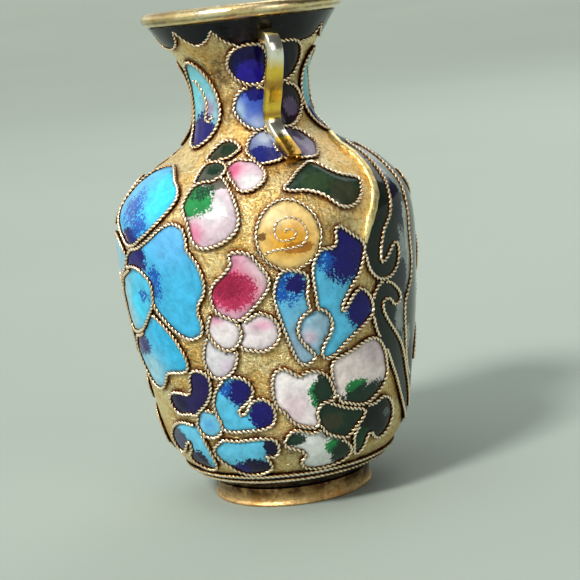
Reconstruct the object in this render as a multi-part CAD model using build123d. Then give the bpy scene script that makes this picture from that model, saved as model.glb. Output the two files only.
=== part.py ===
# Miniature cloisonne vase with two strap handles.
# Row frame: origin at the centre of the foot's underside, +Z up, handles on +X and -X, front on -Y.
# All sizes are in millimetres. Angles are in degrees round the axis from the front, rising towards +X.
import os
from math import cos, radians, sin

from build123d import *

os.makedirs("parts", exist_ok=True)

# ---- driving dimensions ----------------------------------------------------------------
HEIGHT = 64.0
WALL = 0.9  # copper wall of the vessel
LINING = 0.3  # counter enamel inside
FOOT_HEIGHT = 2.4
FOOT_RADIUS = 10.4
FOOT_BORE = 9.3
JOINT_HEIGHT = 44.6  # belly and neck are joined here
NECK_TOP = 62.3
LIP_RADIUS = 0.9  # radius of the rolled lip's section
LIP_RING = 12.0  # radius of the circle that the lip's section follows
WIRE = 0.5  # width of a twisted wire
WIRE_HEIGHT = 0.45
ENAMEL = 0.3  # enamel thickness over the metal
CLEARANCE = 0.15  # each cell is drawn in by this, to part the wires of neighbouring motifs
DATUM = 72.0  # angle of the line that the pattern is laid out from
HANDLE_WIDTH = 2.0
HANDLE_THICKNESS = 1.2
HANDLE_SKEW = 12.0  # the handles are set on by hand, each turned a little about its own upright
HANDLE_SHIFT = 0.4  # and a little off the +X and -X line, towards the front
HANDLE_UPRIGHT = 11.5  # distance of that upright from the axis
FOOT_EDGE = 0.3  # chamfer on the foot's outer edges
BASE_THICKNESS = 0.8
BASE_LEVEL = 2.0  # height of the middle of the base plate
COLLAR_LOW = 59.1  # the scalloped enamel collar starts here
CUSP_HEIGHT = 61.5  # tips of the scallops
PANEL_MIDDLE = 108.0  # degrees from the datum line to the middle of the back
BASE_WIRES = [(5.0, 5.5), (4.2, 4.6)]  # heights of the two border wires above the foot
BASE_BANDS = [(4.6, 5.0), (2.7, 4.2)]  # heights of the enamel bands between them
BEYOND = 40.0  # radius that is well outside the vessel, for cutting solids
ABOVE = 66.0  # height that is well above the lip
REACH = 4.0  # how far a pattern block reaches to each side of the metal

STANDING = (Align.CENTER, Align.CENTER, Align.MIN)

# Outside of the metal: radius at each height, from the foot to the lip.
CONTOUR = [
    (9.6, 2.4), (12.1, 4.0), (14.2, 6.0), (15.5, 8.0), (16.2, 10.0), (16.8, 13.0), (17.5, 17.0),
    (18.3, 22.0), (18.85, 27.0), (19.25, 32.0), (19.2, 36.0), (18.5, 39.0), (16.7, 41.5),
    (14.4, 43.5), (10.2, 46.0), (7.85, 49.0), (7.3, 52.0), (7.6, 55.0), (9.0, 58.0),
    (10.6, 60.5), (11.9, 62.3),
]


# ---- the vessel's surface --------------------------------------------------------------
contour = Spline(*CONTOUR)
STEPS = 240
stations = [contour.position_at(i / STEPS) for i in range(STEPS + 1)]
tangents = [contour.tangent_at(i / STEPS) for i in range(STEPS + 1)]


def surface(height):
    """Radius of the metal and slope of its contour at a height."""
    for i in range(STEPS):
        a = stations[i]
        b = stations[i + 1]
        if height <= b.Y or i == STEPS - 1:
            part = (height - a.Y) / (b.Y - a.Y)
            return a.X + part * (b.X - a.X), tangents[i]


def point(angle, height):
    """Point on the metal at an angle from the front."""
    radius = surface(height)[0]
    return Vector(radius * sin(radians(angle)), -radius * cos(radians(angle)), height)


def core(grow, low=0.0, high=NECK_TOP):
    """Solid of revolution bounded by the contour moved outwards by grow."""
    line = [(s.X + grow * t.Y, s.Y - grow * t.X) for s, t in zip(stations[::6], tangents[::6])]
    line[0] = (line[0][0] - 2.0, 1.0)
    top = line[-1]
    side = Spline(*line)
    outline = side + Polyline(top, (top[0], ABOVE), (0.0, ABOVE), (0.0, 1.0), line[0])
    solid = revolve(Plane.XZ * make_face(outline), Axis.Z)
    return solid & Pos(0, 0, low) * Cylinder(BEYOND, high - low, align=STANDING)


def skin(inner, outer, low=FOOT_HEIGHT, high=NECK_TOP):
    """Layer that follows the contour between two distances from it."""
    return core(outer, low, high) - core(inner, low - 1, high + 1)


metal = core(0.0, FOOT_HEIGHT)
wire_layer = skin(0.0, WIRE_HEIGHT)
enamel_layer = skin(0.0, ENAMEL)


# ---- pattern tools ---------------------------------------------------------------------
class Patch:
    """Sketch plane that touches the vessel at the middle of a motif."""

    def __init__(self, angle, height):
        tangent = surface(height)[1]
        normal = Vector(tangent.Y * sin(radians(angle)), -tangent.Y * cos(radians(angle)), -tangent.X)
        across = Vector(cos(radians(angle)), sin(radians(angle)), 0)
        self.plane = Plane(point(angle, height), x_dir=across, z_dir=normal)

    def flat(self, outline):
        spots = [self.plane.to_local_coords(point(DATUM + a, h)) for a, h in outline]
        return [(s.X, s.Y) for s in spots]

    def area(self, outline):
        curve = Spline(*self.flat(outline), periodic=True)
        corners = [curve @ (i / len(outline) / 2) for i in range(2 * len(outline))]
        return offset(make_face(Polyline(*corners, close=True)), -CLEARANCE)

    def line(self, outline):
        curve = Spline(*self.flat(outline))
        corners = [curve @ (i / len(outline) / 2) for i in range(2 * len(outline) + 1)]
        return trace(Polyline(*corners), WIRE)

    def raise_on(self, shape, layer):
        block = extrude(self.plane * shape, amount=REACH, both=True)
        return block & layer


def motif(angle, height, cells, lines=()):
    """Wires round each cell, loose wires, and the enamel that fills the cells."""
    patch = Patch(DATUM + angle, height)
    areas = [patch.area(c) for c in cells]
    bands = Sketch()
    for area in areas:
        bands += offset(area, WIRE / 2) - offset(area, -WIRE / 2)
    for item in lines:
        bands += patch.line(item)
    fill = Sketch()
    for area in areas:
        fill += area
    fill -= bands
    return patch.raise_on(bands, wire_layer), patch.raise_on(fill, enamel_layer)


def oval(angle, height, wide, tall, count=10):
    """Closed outline: an ellipse wide degrees by tall millimetres across its half axes."""
    turn = [radians(360.0 * i / count) for i in range(count)]
    return [(angle + wide * cos(t), height + tall * sin(t)) for t in turn]


def turned(outline, angle):
    return [(a + angle, h) for a, h in outline]


# ---- pattern of one side, as (degrees from the datum line, height) ---------------------
PETAL_TOP = [
    (-62, 44.6), (-52, 44.2), (-45, 43.2), (-39.5, 42.2), (-37.4, 41.2), (-39.5, 40.1), (-44, 38.6),
    (-50, 37.4), (-55, 36.4), (-62, 36.2), (-70, 37.4), (-78, 39.2), (-80, 41.5), (-73, 43.8),
]
PETAL_RIGHT = [
    (-50, 36.2), (-45, 37.3), (-40, 38.2), (-35, 38.4), (-31.3, 37.5), (-30.5, 35.8), (-27.5, 34.3),
    (-25.6, 32.5), (-26, 29.8), (-29, 27.8), (-29, 25.4), (-34.5, 24.3), (-40, 24.9), (-45, 26.4),
    (-48.5, 28), (-49, 30.5), (-51, 32.5), (-56, 33.2), (-62, 33.4), (-60, 35.2), (-55, 35.7),
]
PETAL_LEFT = [
    (-65.5, 34.4), (-72, 35.9), (-82, 36.6), (-92, 35.6), (-95, 33.4), (-88, 31.4), (-78, 31.2),
    (-69, 32.7),
]
PETAL_LOW = [
    (-55, 32.3), (-51.5, 31), (-51, 29), (-54, 27.4), (-60, 25.7), (-67, 24.5), (-75, 24.6),
    (-79, 26.8), (-76, 29.6), (-69, 31.6), (-61, 32.4),
]
PETAL_BOTTOM = [
    (-51, 26.4), (-46, 25.2), (-41.5, 23.2), (-39, 21), (-42, 19.7), (-49, 19.4), (-54, 18.6),
    (-61, 17.3), (-69, 18), (-75, 20.3), (-73, 22.8), (-65, 23.7), (-58, 25.2),
]
PETAL_FAR = [
    (-80, 23), (-87, 21.2), (-95, 21.4), (-101, 24), (-101, 27.5), (-94, 29.6), (-86, 29), (-81, 26.4),
]
PETAL_HIGH = [(-84, 38.4), (-92, 37.6), (-100, 38.2), (-105, 40.4), (-99, 42.6), (-89, 42.4), (-83.5, 40.4)]

BUD = [
    (-30.5, 42.2), (-26, 42.7), (-20, 43), (-15, 42.3), (-11.2, 40.8), (-9.6, 39), (-11.5, 37),
    (-16, 36), (-22, 35.5), (-27, 36.2), (-29.3, 38), (-32.5, 40),
]
BUD_CAP = [(-29, 44.7), (-24, 44.8), (-19, 44.4), (-18, 43.9), (-22, 43.6), (-28, 43.3), (-31, 43.6)]
BUD_LEAF = [(-32, 45.6), (-28, 46.7), (-21, 47.1), (-13, 46.5), (-13.5, 45.8), (-20, 45.4), (-28, 45.3)]
PINK_DROP = [(-14, 44.3), (-8, 44.8), (-2, 44.5), (2.5, 43.4), (0, 42.2), (-6, 41.6), (-10.5, 42.2)]
LEAF = [
    (10, 41.4), (15, 42.4), (21, 43.3), (27, 43.6), (32.5, 42.8), (38, 41.9), (44, 41), (40.5, 39.4),
    (35, 38.4), (28.5, 38.9), (24, 40.2), (17, 40.9),
]
DISC = oval(8, 36.1, 11.5, 4.1)
SPIRAL = [
    (-0.5, 34.4), (5, 33.2), (12, 33.6), (16, 36), (12.5, 38.5), (6, 38.9), (1.5, 37.3), (4, 35.2),
    (8.5, 34.8), (11.5, 36.2), (8.5, 37.2),
]
ROSE_PETALS = [
    [
        (-14, 34.3), (-10, 34.8), (-6, 34.1), (-2, 32.3), (-1.4, 30.4), (-5, 28.7), (-10, 27.2),
        (-14.5, 26.6), (-20, 27.3), (-22.8, 28.6), (-22.4, 30.6), (-18, 32), (-15, 32.8),
    ],
    [(-20, 27), (-15, 26.2), (-13.6, 24.8), (-16.5, 23), (-21, 22.8), (-25.5, 24.3), (-25.5, 26)],
    [(-12.6, 25.9), (-6, 27), (-1, 26.2), (0.4, 24.2), (-4, 22.6), (-10, 22.5), (-13.6, 23.5)],
    [(-26, 24), (-21, 22.7), (-16.7, 22.1), (-18.5, 20.2), (-24, 19.2), (-28.5, 19.7), (-29.7, 22)],
]
BLOSSOM_PETALS = [
    [
        (5, 31.8), (10, 31.5), (12.7, 30), (12.4, 27.8), (8.5, 25.8), (7.8, 23.9), (11, 21.6),
        (9.5, 20.1), (6.3, 20.9), (4, 23.2), (1.8, 26), (0.4, 28.8), (1.8, 31),
    ],
    [
        (15.2, 30.8), (17, 33), (21, 34), (24.6, 34.2), (27.3, 36), (31.5, 35.1), (35.8, 33.5),
        (34.6, 30.9), (30, 28.8), (26.5, 27), (29.5, 27), (34, 28), (38, 26.6), (38, 24.6),
        (31, 22.9), (24, 21.2), (18.5, 20.5), (20.6, 23.2), (20.4, 25.8), (16.8, 27),
    ],
    [(13.8, 26.2), (10, 25.6), (9, 23.8), (12, 22), (15.8, 21.2), (18.6, 23), (18.6, 25.2)],
]
COMMA = [
    (-37.5, 19.4), (-34, 20), (-30.6, 19), (-31, 17), (-35, 15.4), (-40, 14.2), (-47, 14),
    (-53.5, 14.5), (-54.5, 16), (-49, 16.8), (-42.5, 16.8), (-39.8, 17.9),
]
WINGS = [
    [
        (-29.3, 14.5), (-29, 16.6), (-24.5, 18.4), (-18, 19), (-12.8, 17.8), (-14, 16.2), (-17.5, 14.8),
        (-14, 15), (-9.5, 16), (-5, 14.6), (-7, 12.8), (-16, 12.3), (-27, 12.5),
    ],
    [(-34.5, 14.4), (-30.5, 13.8), (-30, 12.2), (-34.5, 11.4), (-39.5, 12), (-39.5, 13.6)],
    [
        (-33, 10), (-28, 10.7), (-18, 10.8), (-8, 10.5), (-5.6, 9.4), (-9.5, 8.4), (-11, 6.7),
        (-18, 5.9), (-27, 6.4), (-34, 8),
    ],
    [
        (-44, 12.3), (-52, 12.5), (-62, 11.2), (-63, 9.2), (-56.5, 9), (-52.5, 8.6), (-53.5, 7.2),
        (-46, 6.4), (-39.4, 7), (-39.6, 9.2), (-41, 11.2),
    ],
]
FOLIAGE = [
    [
        (-4, 17.6), (-1.5, 19.4), (3, 19.3), (7, 18.6), (13, 18.8), (18.5, 17.4), (20, 15.4),
        (14, 14.9), (12.4, 13.2), (10, 12), (4.5, 12.3), (0, 13.8), (-3.6, 15.2),
    ],
    [
        (-1, 10.6), (4, 11.2), (11, 10.8), (16.5, 9.9), (23, 9.1), (28, 7.7), (22, 6.3), (13, 6),
        (6, 6.7), (4, 8.6), (-1, 9.4),
    ],
    [(14, 12.6), (15.5, 14), (22, 13.8), (30, 12.9), (34, 12.1), (28, 10.2), (22, 10), (16, 11)],
    [
        (21.6, 16.6), (20.6, 18.6), (24, 20.1), (32, 20.9), (39.5, 21.3), (44.5, 19.4), (47, 16.8),
        (42.5, 14.6), (35, 13.9), (26.5, 14.4), (22.6, 15.2),
    ],
    [
        (37.5, 12.6), (45, 13), (51.5, 12.2), (53, 10.4), (49, 8.6), (42, 8.7), (38, 7.6), (33.5, 7),
        (31, 8.4), (32, 9.9),
    ],
]
PALMETTE = [
    [(-16.5, 56.5), (-10, 58.1), (0, 58.6), (12, 58.4), (16, 56.6), (12, 54.3), (0, 54.1), (-12, 54.9)],
    [(-16.5, 51.1), (-9, 53), (3, 53.5), (13, 53), (16, 51), (12, 48.6), (2, 48.5), (-9, 49.2)],
    [(-5.5, 46.2), (0, 47.4), (8, 47.8), (15, 46.8), (15, 45), (8, 44.6), (0, 44.8)],
]
NECK_LEAF = [
    (-32, 51), (-36, 53.6), (-43, 55.8), (-52, 57.2), (-62, 57), (-71, 55), (-75, 52), (-70, 48.8),
    (-60, 47.2), (-48, 47.2), (-38, 48.6),
]
LEAF_VEIN = [(-70, 51.4), (-62, 50.6), (-54, 51.2), (-46, 51.8), (-39, 51)]
SCROLL_HIGH = [
    (76, 46), (69, 45.5), (62.5, 44.7), (58, 43.4), (54, 41.6), (50.3, 39.9), (44.3, 37.3), (39.6, 34.9),
    (37.6, 32.4), (39.4, 30), (45, 28.8), (52, 29), (56.2, 31.4), (52.6, 32.5), (45.4, 30.9),
    (47.2, 34.2), (53.2, 36.4), (57, 39), (61.6, 41.3), (66.5, 43.4), (74, 44.3),
]
SCROLL_LOW = [
    (72.8, 8.6), (65.5, 10.7), (58.2, 13.9), (52.5, 16.8), (47.6, 19.5), (42.6, 21.7), (39.9, 24.2),
    (40.3, 26.8), (45, 28.2), (53.3, 27.2), (55.8, 25.4), (50, 25.7), (45.6, 25.4), (49.2, 22.8),
    (56, 20.4), (62.1, 17.5), (69.2, 13.7), (74, 11),
]
PANEL_EDGE = [
    (108, 45.7), (90, 45.7), (74, 45.6), (62.5, 44.6), (54, 41.6), (47, 38.5), (41.6, 36.2), (38.4, 33.6),
    (38.8, 30.8), (42, 28.4), (40.3, 25.6), (41.4, 22.9), (47.8, 19.5), (55.6, 15.4), (61.3, 12.5),
    (68, 9.8), (80, 7.8), (108, 7.8),
]
PANEL_PETALS = []
for i in range(5):
    turn = radians(72 * i)
    PANEL_PETALS.append(oval(PANEL_MIDDLE + 13.5 * sin(turn), 28 + 4.6 * cos(turn), 7, 2.4))
PANEL_HEART = oval(PANEL_MIDDLE, 28, 4.5, 1.5)
PANEL_LEAVES = []
for side in (-1, 1):
    PANEL_LEAVES.append(oval(PANEL_MIDDLE + 18 * side, 18, 8, 2.2))
    PANEL_LEAVES.append(oval(PANEL_MIDDLE + 14 * side, 38.5, 7, 1.8))
STEM = [(108, 21.4), (107, 17.5), (109, 13.5), (107, 10.5)]

# ---- pattern solids --------------------------------------------------------------------
pattern = {
    "bud": motif(-18, 41.5, [BUD, BUD_CAP, BUD_LEAF, PINK_DROP]),
    "leaf": motif(27, 41, [LEAF]),
    "disc": motif(8, 36, [DISC], [SPIRAL]),
    "rose": motif(-14, 27.5, ROSE_PETALS),
    "blossom": motif(20, 28, BLOSSOM_PETALS),
    "butterfly": motif(-32, 12, WINGS + [COMMA]),
    "foliage": motif(24, 13, FOLIAGE),
    "palmette": motif(
        18, 51, PALMETTE + [[(36 - a, h) for a, h in cell] for cell in PALMETTE]
    ),
}
flower = motif(
    -63, 31, [PETAL_TOP, PETAL_RIGHT, PETAL_LEFT, PETAL_LOW, PETAL_BOTTOM, PETAL_FAR, PETAL_HIGH]
)
neck_leaves = {
    "neck_front": [motif(-53 + s, 52, [turned(NECK_LEAF, s)], [turned(LEAF_VEIN, s)]) for s in (0, -48)],
    "neck_back": [motif(-53 + s, 52, [turned(NECK_LEAF, s)], [turned(LEAF_VEIN, s)]) for s in (184, 136)],
}


nodes = {"front_flower_wires": flower[0], "front_flower_enamel": flower[1]}
for name, (wires, enamel) in pattern.items():
    for layer, shape in (("wires", wires), ("enamel", enamel)):
        nodes[f"right_{name}_{layer}"] = shape
        nodes[f"left_{name}_{layer}"] = mirror(shape, Plane.YZ)
for name, pair in neck_leaves.items():
    nodes[name + "_wires"] = pair[0][0] + pair[1][0]
    nodes[name + "_enamel"] = pair[0][1] + pair[1][1]

# ---- back panel ------------------------------------------------------------------------
side_patch = Patch(DATUM + 52, 26)
scrolls = Sketch()
for item in (SCROLL_HIGH, SCROLL_LOW):
    scrolls += side_patch.line(item)
border = side_patch.raise_on(scrolls, wire_layer)
border += mirror(border, Plane.YZ)

edge = [point(DATUM + a, h) for a, h in PANEL_EDGE]
half = [(p.X, p.Z) for p in edge]
panel = make_face(Polyline(*half, half[0]))
panel += mirror(panel, Plane.YZ)
flower_wires, flower_fill = motif(PANEL_MIDDLE, 26, PANEL_PETALS + [PANEL_HEART] + PANEL_LEAVES, [STEM])
ground = extrude(Plane.XZ * panel, amount=-30) & enamel_layer
ground -= border
ground -= flower_wires
ground -= flower_fill
nodes["back_panel_ground"] = ground
nodes["back_panel_border"] = border
nodes["back_panel_flower_wires"] = flower_wires
nodes["back_panel_flower_enamel"] = flower_fill

# ---- collar under the lip --------------------------------------------------------------
CUSPS = [-48, -20, 18, 66, 107, 148, 189, 230, 271, 312]
collar = skin(0.0, ENAMEL, COLLAR_LOW, NECK_TOP)
collar_layer = skin(0.0, WIRE_HEIGHT, COLLAR_LOW - 0.6, NECK_TOP)
collar_wire = Part()
for i, cusp in enumerate(CUSPS[:-1]):
    before = (cusp - CUSPS[i - 1] if i else CUSPS[-1] - CUSPS[-2]) / 2
    after = (CUSPS[i + 1] - cusp) / 2
    bay = Patch(DATUM + cusp, 60.2)
    arch = [(cusp - before, 59.2), (cusp - 0.6 * before, 59.5), (cusp - 5, 60.3), (cusp, CUSP_HEIGHT)]
    arch += [(cusp + 5, 60.3), (cusp + 0.6 * after, 59.5), (cusp + after, 59.2)]
    crest = Polyline(*bay.flat(arch))
    gap = make_face(crest + Polyline(crest @ 1, (crest @ 1) - (0, 3), (crest @ 0) - (0, 3), crest @ 0))
    rope = trace(crest, WIRE)
    collar -= extrude(bay.plane * gap, amount=3, both=True)
    collar -= extrude(bay.plane * rope, amount=3, both=True)
    collar_wire += bay.raise_on(rope, collar_layer)

# ---- borders above the foot ------------------------------------------------------------
nodes["base_wires"] = skin(0.0, WIRE_HEIGHT, *BASE_WIRES[0]) + skin(0.0, WIRE_HEIGHT, *BASE_WIRES[1])
nodes["base_enamel"] = skin(0.0, ENAMEL, *BASE_BANDS[0]) + skin(0.0, ENAMEL, *BASE_BANDS[1])

# ---- vessel, foot, lip and lining ------------------------------------------------------
vessel = metal - core(-WALL, FOOT_HEIGHT - 1, NECK_TOP + 1)
split = Pos(0, 0, JOINT_HEIGHT) * Cylinder(BEYOND, ABOVE - JOINT_HEIGHT, align=STANDING)
nodes["belly_shell"] = vessel - split
nodes["neck_shell"] = vessel & split
lining = core(-WALL, FOOT_HEIGHT) - core(-WALL - LINING, FOOT_HEIGHT + LINING, NECK_TOP + 1)
nodes["belly_lining"] = lining - split
nodes["neck_lining"] = lining & split

foot = Polyline(
    (FOOT_BORE, 0), (FOOT_RADIUS - FOOT_EDGE, 0), (FOOT_RADIUS, FOOT_EDGE),
    (FOOT_RADIUS, FOOT_HEIGHT - FOOT_EDGE), (FOOT_RADIUS - FOOT_EDGE, FOOT_HEIGHT),
    (FOOT_BORE, FOOT_HEIGHT), close=True,
)
nodes["foot_ring"] = revolve(Plane.XZ * make_face(foot), Axis.Z)
under_base = BASE_LEVEL - BASE_THICKNESS / 2 - LINING / 2
nodes["base_plate"] = Pos(0, 0, BASE_LEVEL) * Cylinder(FOOT_BORE, BASE_THICKNESS)
nodes["base_counter_enamel"] = Pos(0, 0, under_base) * Cylinder(FOOT_BORE, LINING)

roll = Pos(LIP_RING, HEIGHT - LIP_RADIUS) * Circle(LIP_RADIUS)
lip = revolve(Plane.XZ * roll, Axis.Z)
lip -= core(WIRE_HEIGHT, 50, NECK_TOP)
nodes["lip_ring"] = lip

# ---- handles ---------------------------------------------------------------------------
HANDLE_LINE = [
    (9.9, 59.7), (10.9, 60.0), (12.0, 59.6), (12.75, 58.2), (12.3, 56.0), (11.1, 53.6), (9.9, 51.5),
    (9.5, 49.7), (10.2, 48.0), (11.6, 46.7), (13.0, 45.6), (14.2, 44.7),
]
strap = trace(Spline(*HANDLE_LINE), HANDLE_THICKNESS)
handle = extrude(Plane.XZ * strap, amount=HANDLE_WIDTH / 2, both=True)
pivot = Pos(HANDLE_UPRIGHT, 0, 0)
handle = Pos(0, -HANDLE_SHIFT, 0) * pivot * Rot(0, 0, HANDLE_SKEW) * pivot.inverse() * handle
handle -= core(0.0, 40)
handle -= lip
both = handle + mirror(handle, Plane.YZ)
nodes["right_handle"] = handle
nodes["left_handle"] = mirror(handle, Plane.YZ)
nodes["collar_enamel"] = collar - both
nodes["collar_wire"] = collar_wire - both
for layer in ("wires", "enamel"):
    under = nodes["right_palmette_" + layer] - handle
    nodes["right_palmette_" + layer] = under
    nodes["left_palmette_" + layer] = mirror(under, Plane.YZ)

for name, shape in nodes.items():
    export_step(shape, f"parts/{name}.step")
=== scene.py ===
"""Cloisonne vase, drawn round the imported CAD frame.

Lengths are in millimetres until piece() turns them into metres. The pattern is laid out as points
(degrees from the datum line, height) and wrapped on to the metal by on_surface().
"""

import math

import bpy
import numpy as np
from mathutils import Matrix, Vector
from mathutils.geometry import delaunay_2d_cdt
from mathutils.kdtree import KDTree

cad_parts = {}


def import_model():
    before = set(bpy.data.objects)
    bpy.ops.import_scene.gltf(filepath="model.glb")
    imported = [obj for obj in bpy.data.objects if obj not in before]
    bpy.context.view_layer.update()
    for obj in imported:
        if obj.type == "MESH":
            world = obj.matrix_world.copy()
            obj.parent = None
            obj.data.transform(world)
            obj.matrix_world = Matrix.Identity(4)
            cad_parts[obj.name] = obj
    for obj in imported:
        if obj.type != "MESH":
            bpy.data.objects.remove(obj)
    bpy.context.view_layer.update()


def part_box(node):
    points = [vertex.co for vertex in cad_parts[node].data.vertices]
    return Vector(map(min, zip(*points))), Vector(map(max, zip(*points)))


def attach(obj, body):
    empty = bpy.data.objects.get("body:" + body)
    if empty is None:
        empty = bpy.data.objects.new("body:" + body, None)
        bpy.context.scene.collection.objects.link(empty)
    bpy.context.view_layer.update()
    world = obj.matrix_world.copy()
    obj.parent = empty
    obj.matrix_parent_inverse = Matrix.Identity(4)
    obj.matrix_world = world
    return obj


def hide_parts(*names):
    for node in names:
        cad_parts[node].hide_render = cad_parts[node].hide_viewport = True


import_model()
rng = np.random.default_rng(7)

MM = 0.001


def top_of(node):
    """Height of a CAD node's highest point, to a tenth of a millimetre."""
    return round(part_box(node)[1][2] / MM, 1)


HEIGHT = top_of("lip_ring")
NECK_TOP = top_of("neck_shell")
JOINT_HEIGHT = top_of("belly_shell")
FOOT_TOP = top_of("foot_ring")
DATUM = 72.0  # angle of the line the pattern is laid out from, as in the CAD
WALL = 0.9
LINING = 0.3
ENAMEL = 0.3
LIP_RADIUS = 0.9  # of the rolled lip's section
LIP_RING = 12.0  # radius of the circle that the section follows

# ---- vessel contour
CONTOUR = np.array([
    (9.6, 2.4), (12.1, 4.0), (14.2, 6.0), (15.5, 8.0), (16.2, 10.0), (16.8, 13.0), (17.5, 17.0),
    (18.3, 22.0), (18.85, 27.0), (19.25, 32.0), (19.2, 36.0), (18.5, 39.0), (16.7, 41.5),
    (14.4, 43.5), (10.2, 46.0), (7.85, 49.0), (7.3, 52.0), (7.6, 55.0), (9.0, 58.0),
    (10.6, 60.5), (11.9, 62.3),
])


def unit(vectors):
    """Rows of an array, each scaled to length one."""
    return vectors / np.linalg.norm(vectors, axis=1)[:, None]


def cubic(points, count):
    """Natural cubic spline through points, by chord length, sampled count times."""
    p = np.asarray(points, float)
    t = np.concatenate([[0], np.cumsum(np.linalg.norm(np.diff(p, axis=0), axis=1))])
    n = len(t)
    h = np.diff(t)
    a = np.zeros((n, n))
    b = np.zeros((n, p.shape[1]))
    a[0, 0] = a[-1, -1] = 1
    for i in range(1, n - 1):
        a[i, i - 1], a[i, i], a[i, i + 1] = h[i - 1], 2 * (h[i - 1] + h[i]), h[i]
        b[i] = 6 * ((p[i + 1] - p[i]) / h[i] - (p[i] - p[i - 1]) / h[i - 1])
    m = np.linalg.solve(a, b)
    s = np.linspace(0, t[-1], count)
    k = np.clip(np.searchsorted(t, s, side="right") - 1, 0, n - 2)
    d, e = (t[k + 1] - s)[:, None], (s - t[k])[:, None]
    hk = h[k][:, None]
    bend = (m[k] * d**3 + m[k + 1] * e**3) / (6 * hk)
    return bend + (p[k] / hk - m[k] * hk / 6) * d + (p[k + 1] / hk - m[k + 1] * hk / 6) * e


LINE = cubic(CONTOUR, 1200)
SLOPE = unit(np.gradient(LINE, axis=0))


def on_surface(angle, height, grow=0.0):
    """Points grow mm off the metal, and the outward normals, for arrays of angle and height."""
    angle, height = np.radians(np.asarray(angle, float)), np.asarray(height, float)
    r = np.interp(height, LINE[:, 1], LINE[:, 0])
    tr = np.interp(height, LINE[:, 1], SLOPE[:, 0])
    tz = np.interp(height, LINE[:, 1], SLOPE[:, 1])
    n = np.stack([tz * np.sin(angle), -tz * np.cos(angle), -tr], -1)
    p = np.stack([r * np.sin(angle), -r * np.cos(angle), height], -1)
    return p + n * np.asarray(grow)[..., None], n


def contour_at(heights, grow):
    """(radius, height) points grow mm off the metal's contour."""
    p, _ = on_surface(np.zeros(len(heights)), heights, grow)
    return np.stack([-p[:, 1], p[:, 2]], -1)


# ---- mesh and piece helpers
def srgb(r, g, b):
    c = np.array([r, g, b], float) / 255
    return tuple(np.where(c <= 0.04045, c / 12.92, ((c + 0.055) / 1.055) ** 2.4)) + (1.0,)


def add_object(name, data):
    obj = bpy.data.objects.new(name, data)
    bpy.context.scene.collection.objects.link(obj)
    return obj


def smooth_object(name, verts, faces, material):
    mesh = bpy.data.meshes.new(name)
    mesh.from_pydata(verts.tolist(), [], faces)
    mesh.update()
    mesh.materials.append(material)
    mesh.polygons.foreach_set("use_smooth", [True] * len(mesh.polygons))
    return add_object(name, mesh)


def set_attr(obj, name, values):
    """Stores one number or one colour for each vertex."""
    values = np.asarray(values, np.float32)
    kind, field = ("FLOAT", "value") if values.ndim == 1 else ("FLOAT_COLOR", "color")
    obj.data.attributes.new(name, kind, "POINT").data.foreach_set(field, values.ravel())


def piece(name, verts, faces, material, slot, replaced=(), sharp=50, **attributes):
    """Object that rides on the body; edges sharper than so many degrees stay crisp."""
    obj = smooth_object(name, verts * MM, faces, material)
    if sharp:
        obj.data.set_sharp_from_angle(angle=math.radians(sharp))
    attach(obj, "root")
    if replaced:
        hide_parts(*replaced)
    for key, values in attributes.items():
        set_attr(obj, key, values)
    return obj


def grid_faces(rows, cols, wrap_rows=False, wrap_cols=False):
    r = np.arange(rows if wrap_rows else rows - 1)
    c = np.arange(cols if wrap_cols else cols - 1)
    r, c = np.meshgrid(r, c, indexing="ij")
    row, below, right = r * cols, (r + 1) % rows * cols, (c + 1) % cols
    return np.stack([row + c, row + right, below + right, below + c], -1).reshape(-1, 4).tolist()


def tube(rings, closed=False):
    """Verts and faces of a tube through rings of points, capped unless it runs back into itself."""
    rows, sides = rings.shape[:2]
    faces = grid_faces(rows, sides, wrap_rows=closed, wrap_cols=True)
    if not closed:
        last = (rows - 1) * sides
        faces += [list(range(sides))[::-1], list(range(last, last + sides))]
    return rings.reshape(-1, 3), faces


def joined(parts):
    """Several (verts, faces) as one."""
    faces, start = [], 0
    for v, f in parts:
        faces += [[i + start for i in face] for face in f]
        start += len(v)
    return np.vstack([v for v, _ in parts]), faces


def revolve(profile, count=256, wobble=0.0, closed=True):
    """Verts and faces of a (radius, height) profile turned round the axis."""
    p = np.asarray(profile, float)
    t = np.linspace(0, 2 * np.pi, count, endpoint=False)
    w = 1 + wobble * (np.sin(3 * t + 0.7) + 0.6 * np.sin(5 * t + 2.1) + 0.4 * np.sin(11 * t))
    r = p[:, :1] * w
    v = np.stack([r * np.sin(t), -r * np.cos(t), np.repeat(p[:, 1:], count, 1)], -1)
    return v.reshape(-1, 3), grid_faces(len(p), count, wrap_rows=closed, wrap_cols=True)


def tree_of(points):
    tree = KDTree(len(points))
    for i, point in enumerate(points):
        tree.insert(point, i)
    tree.balance()
    return tree


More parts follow.
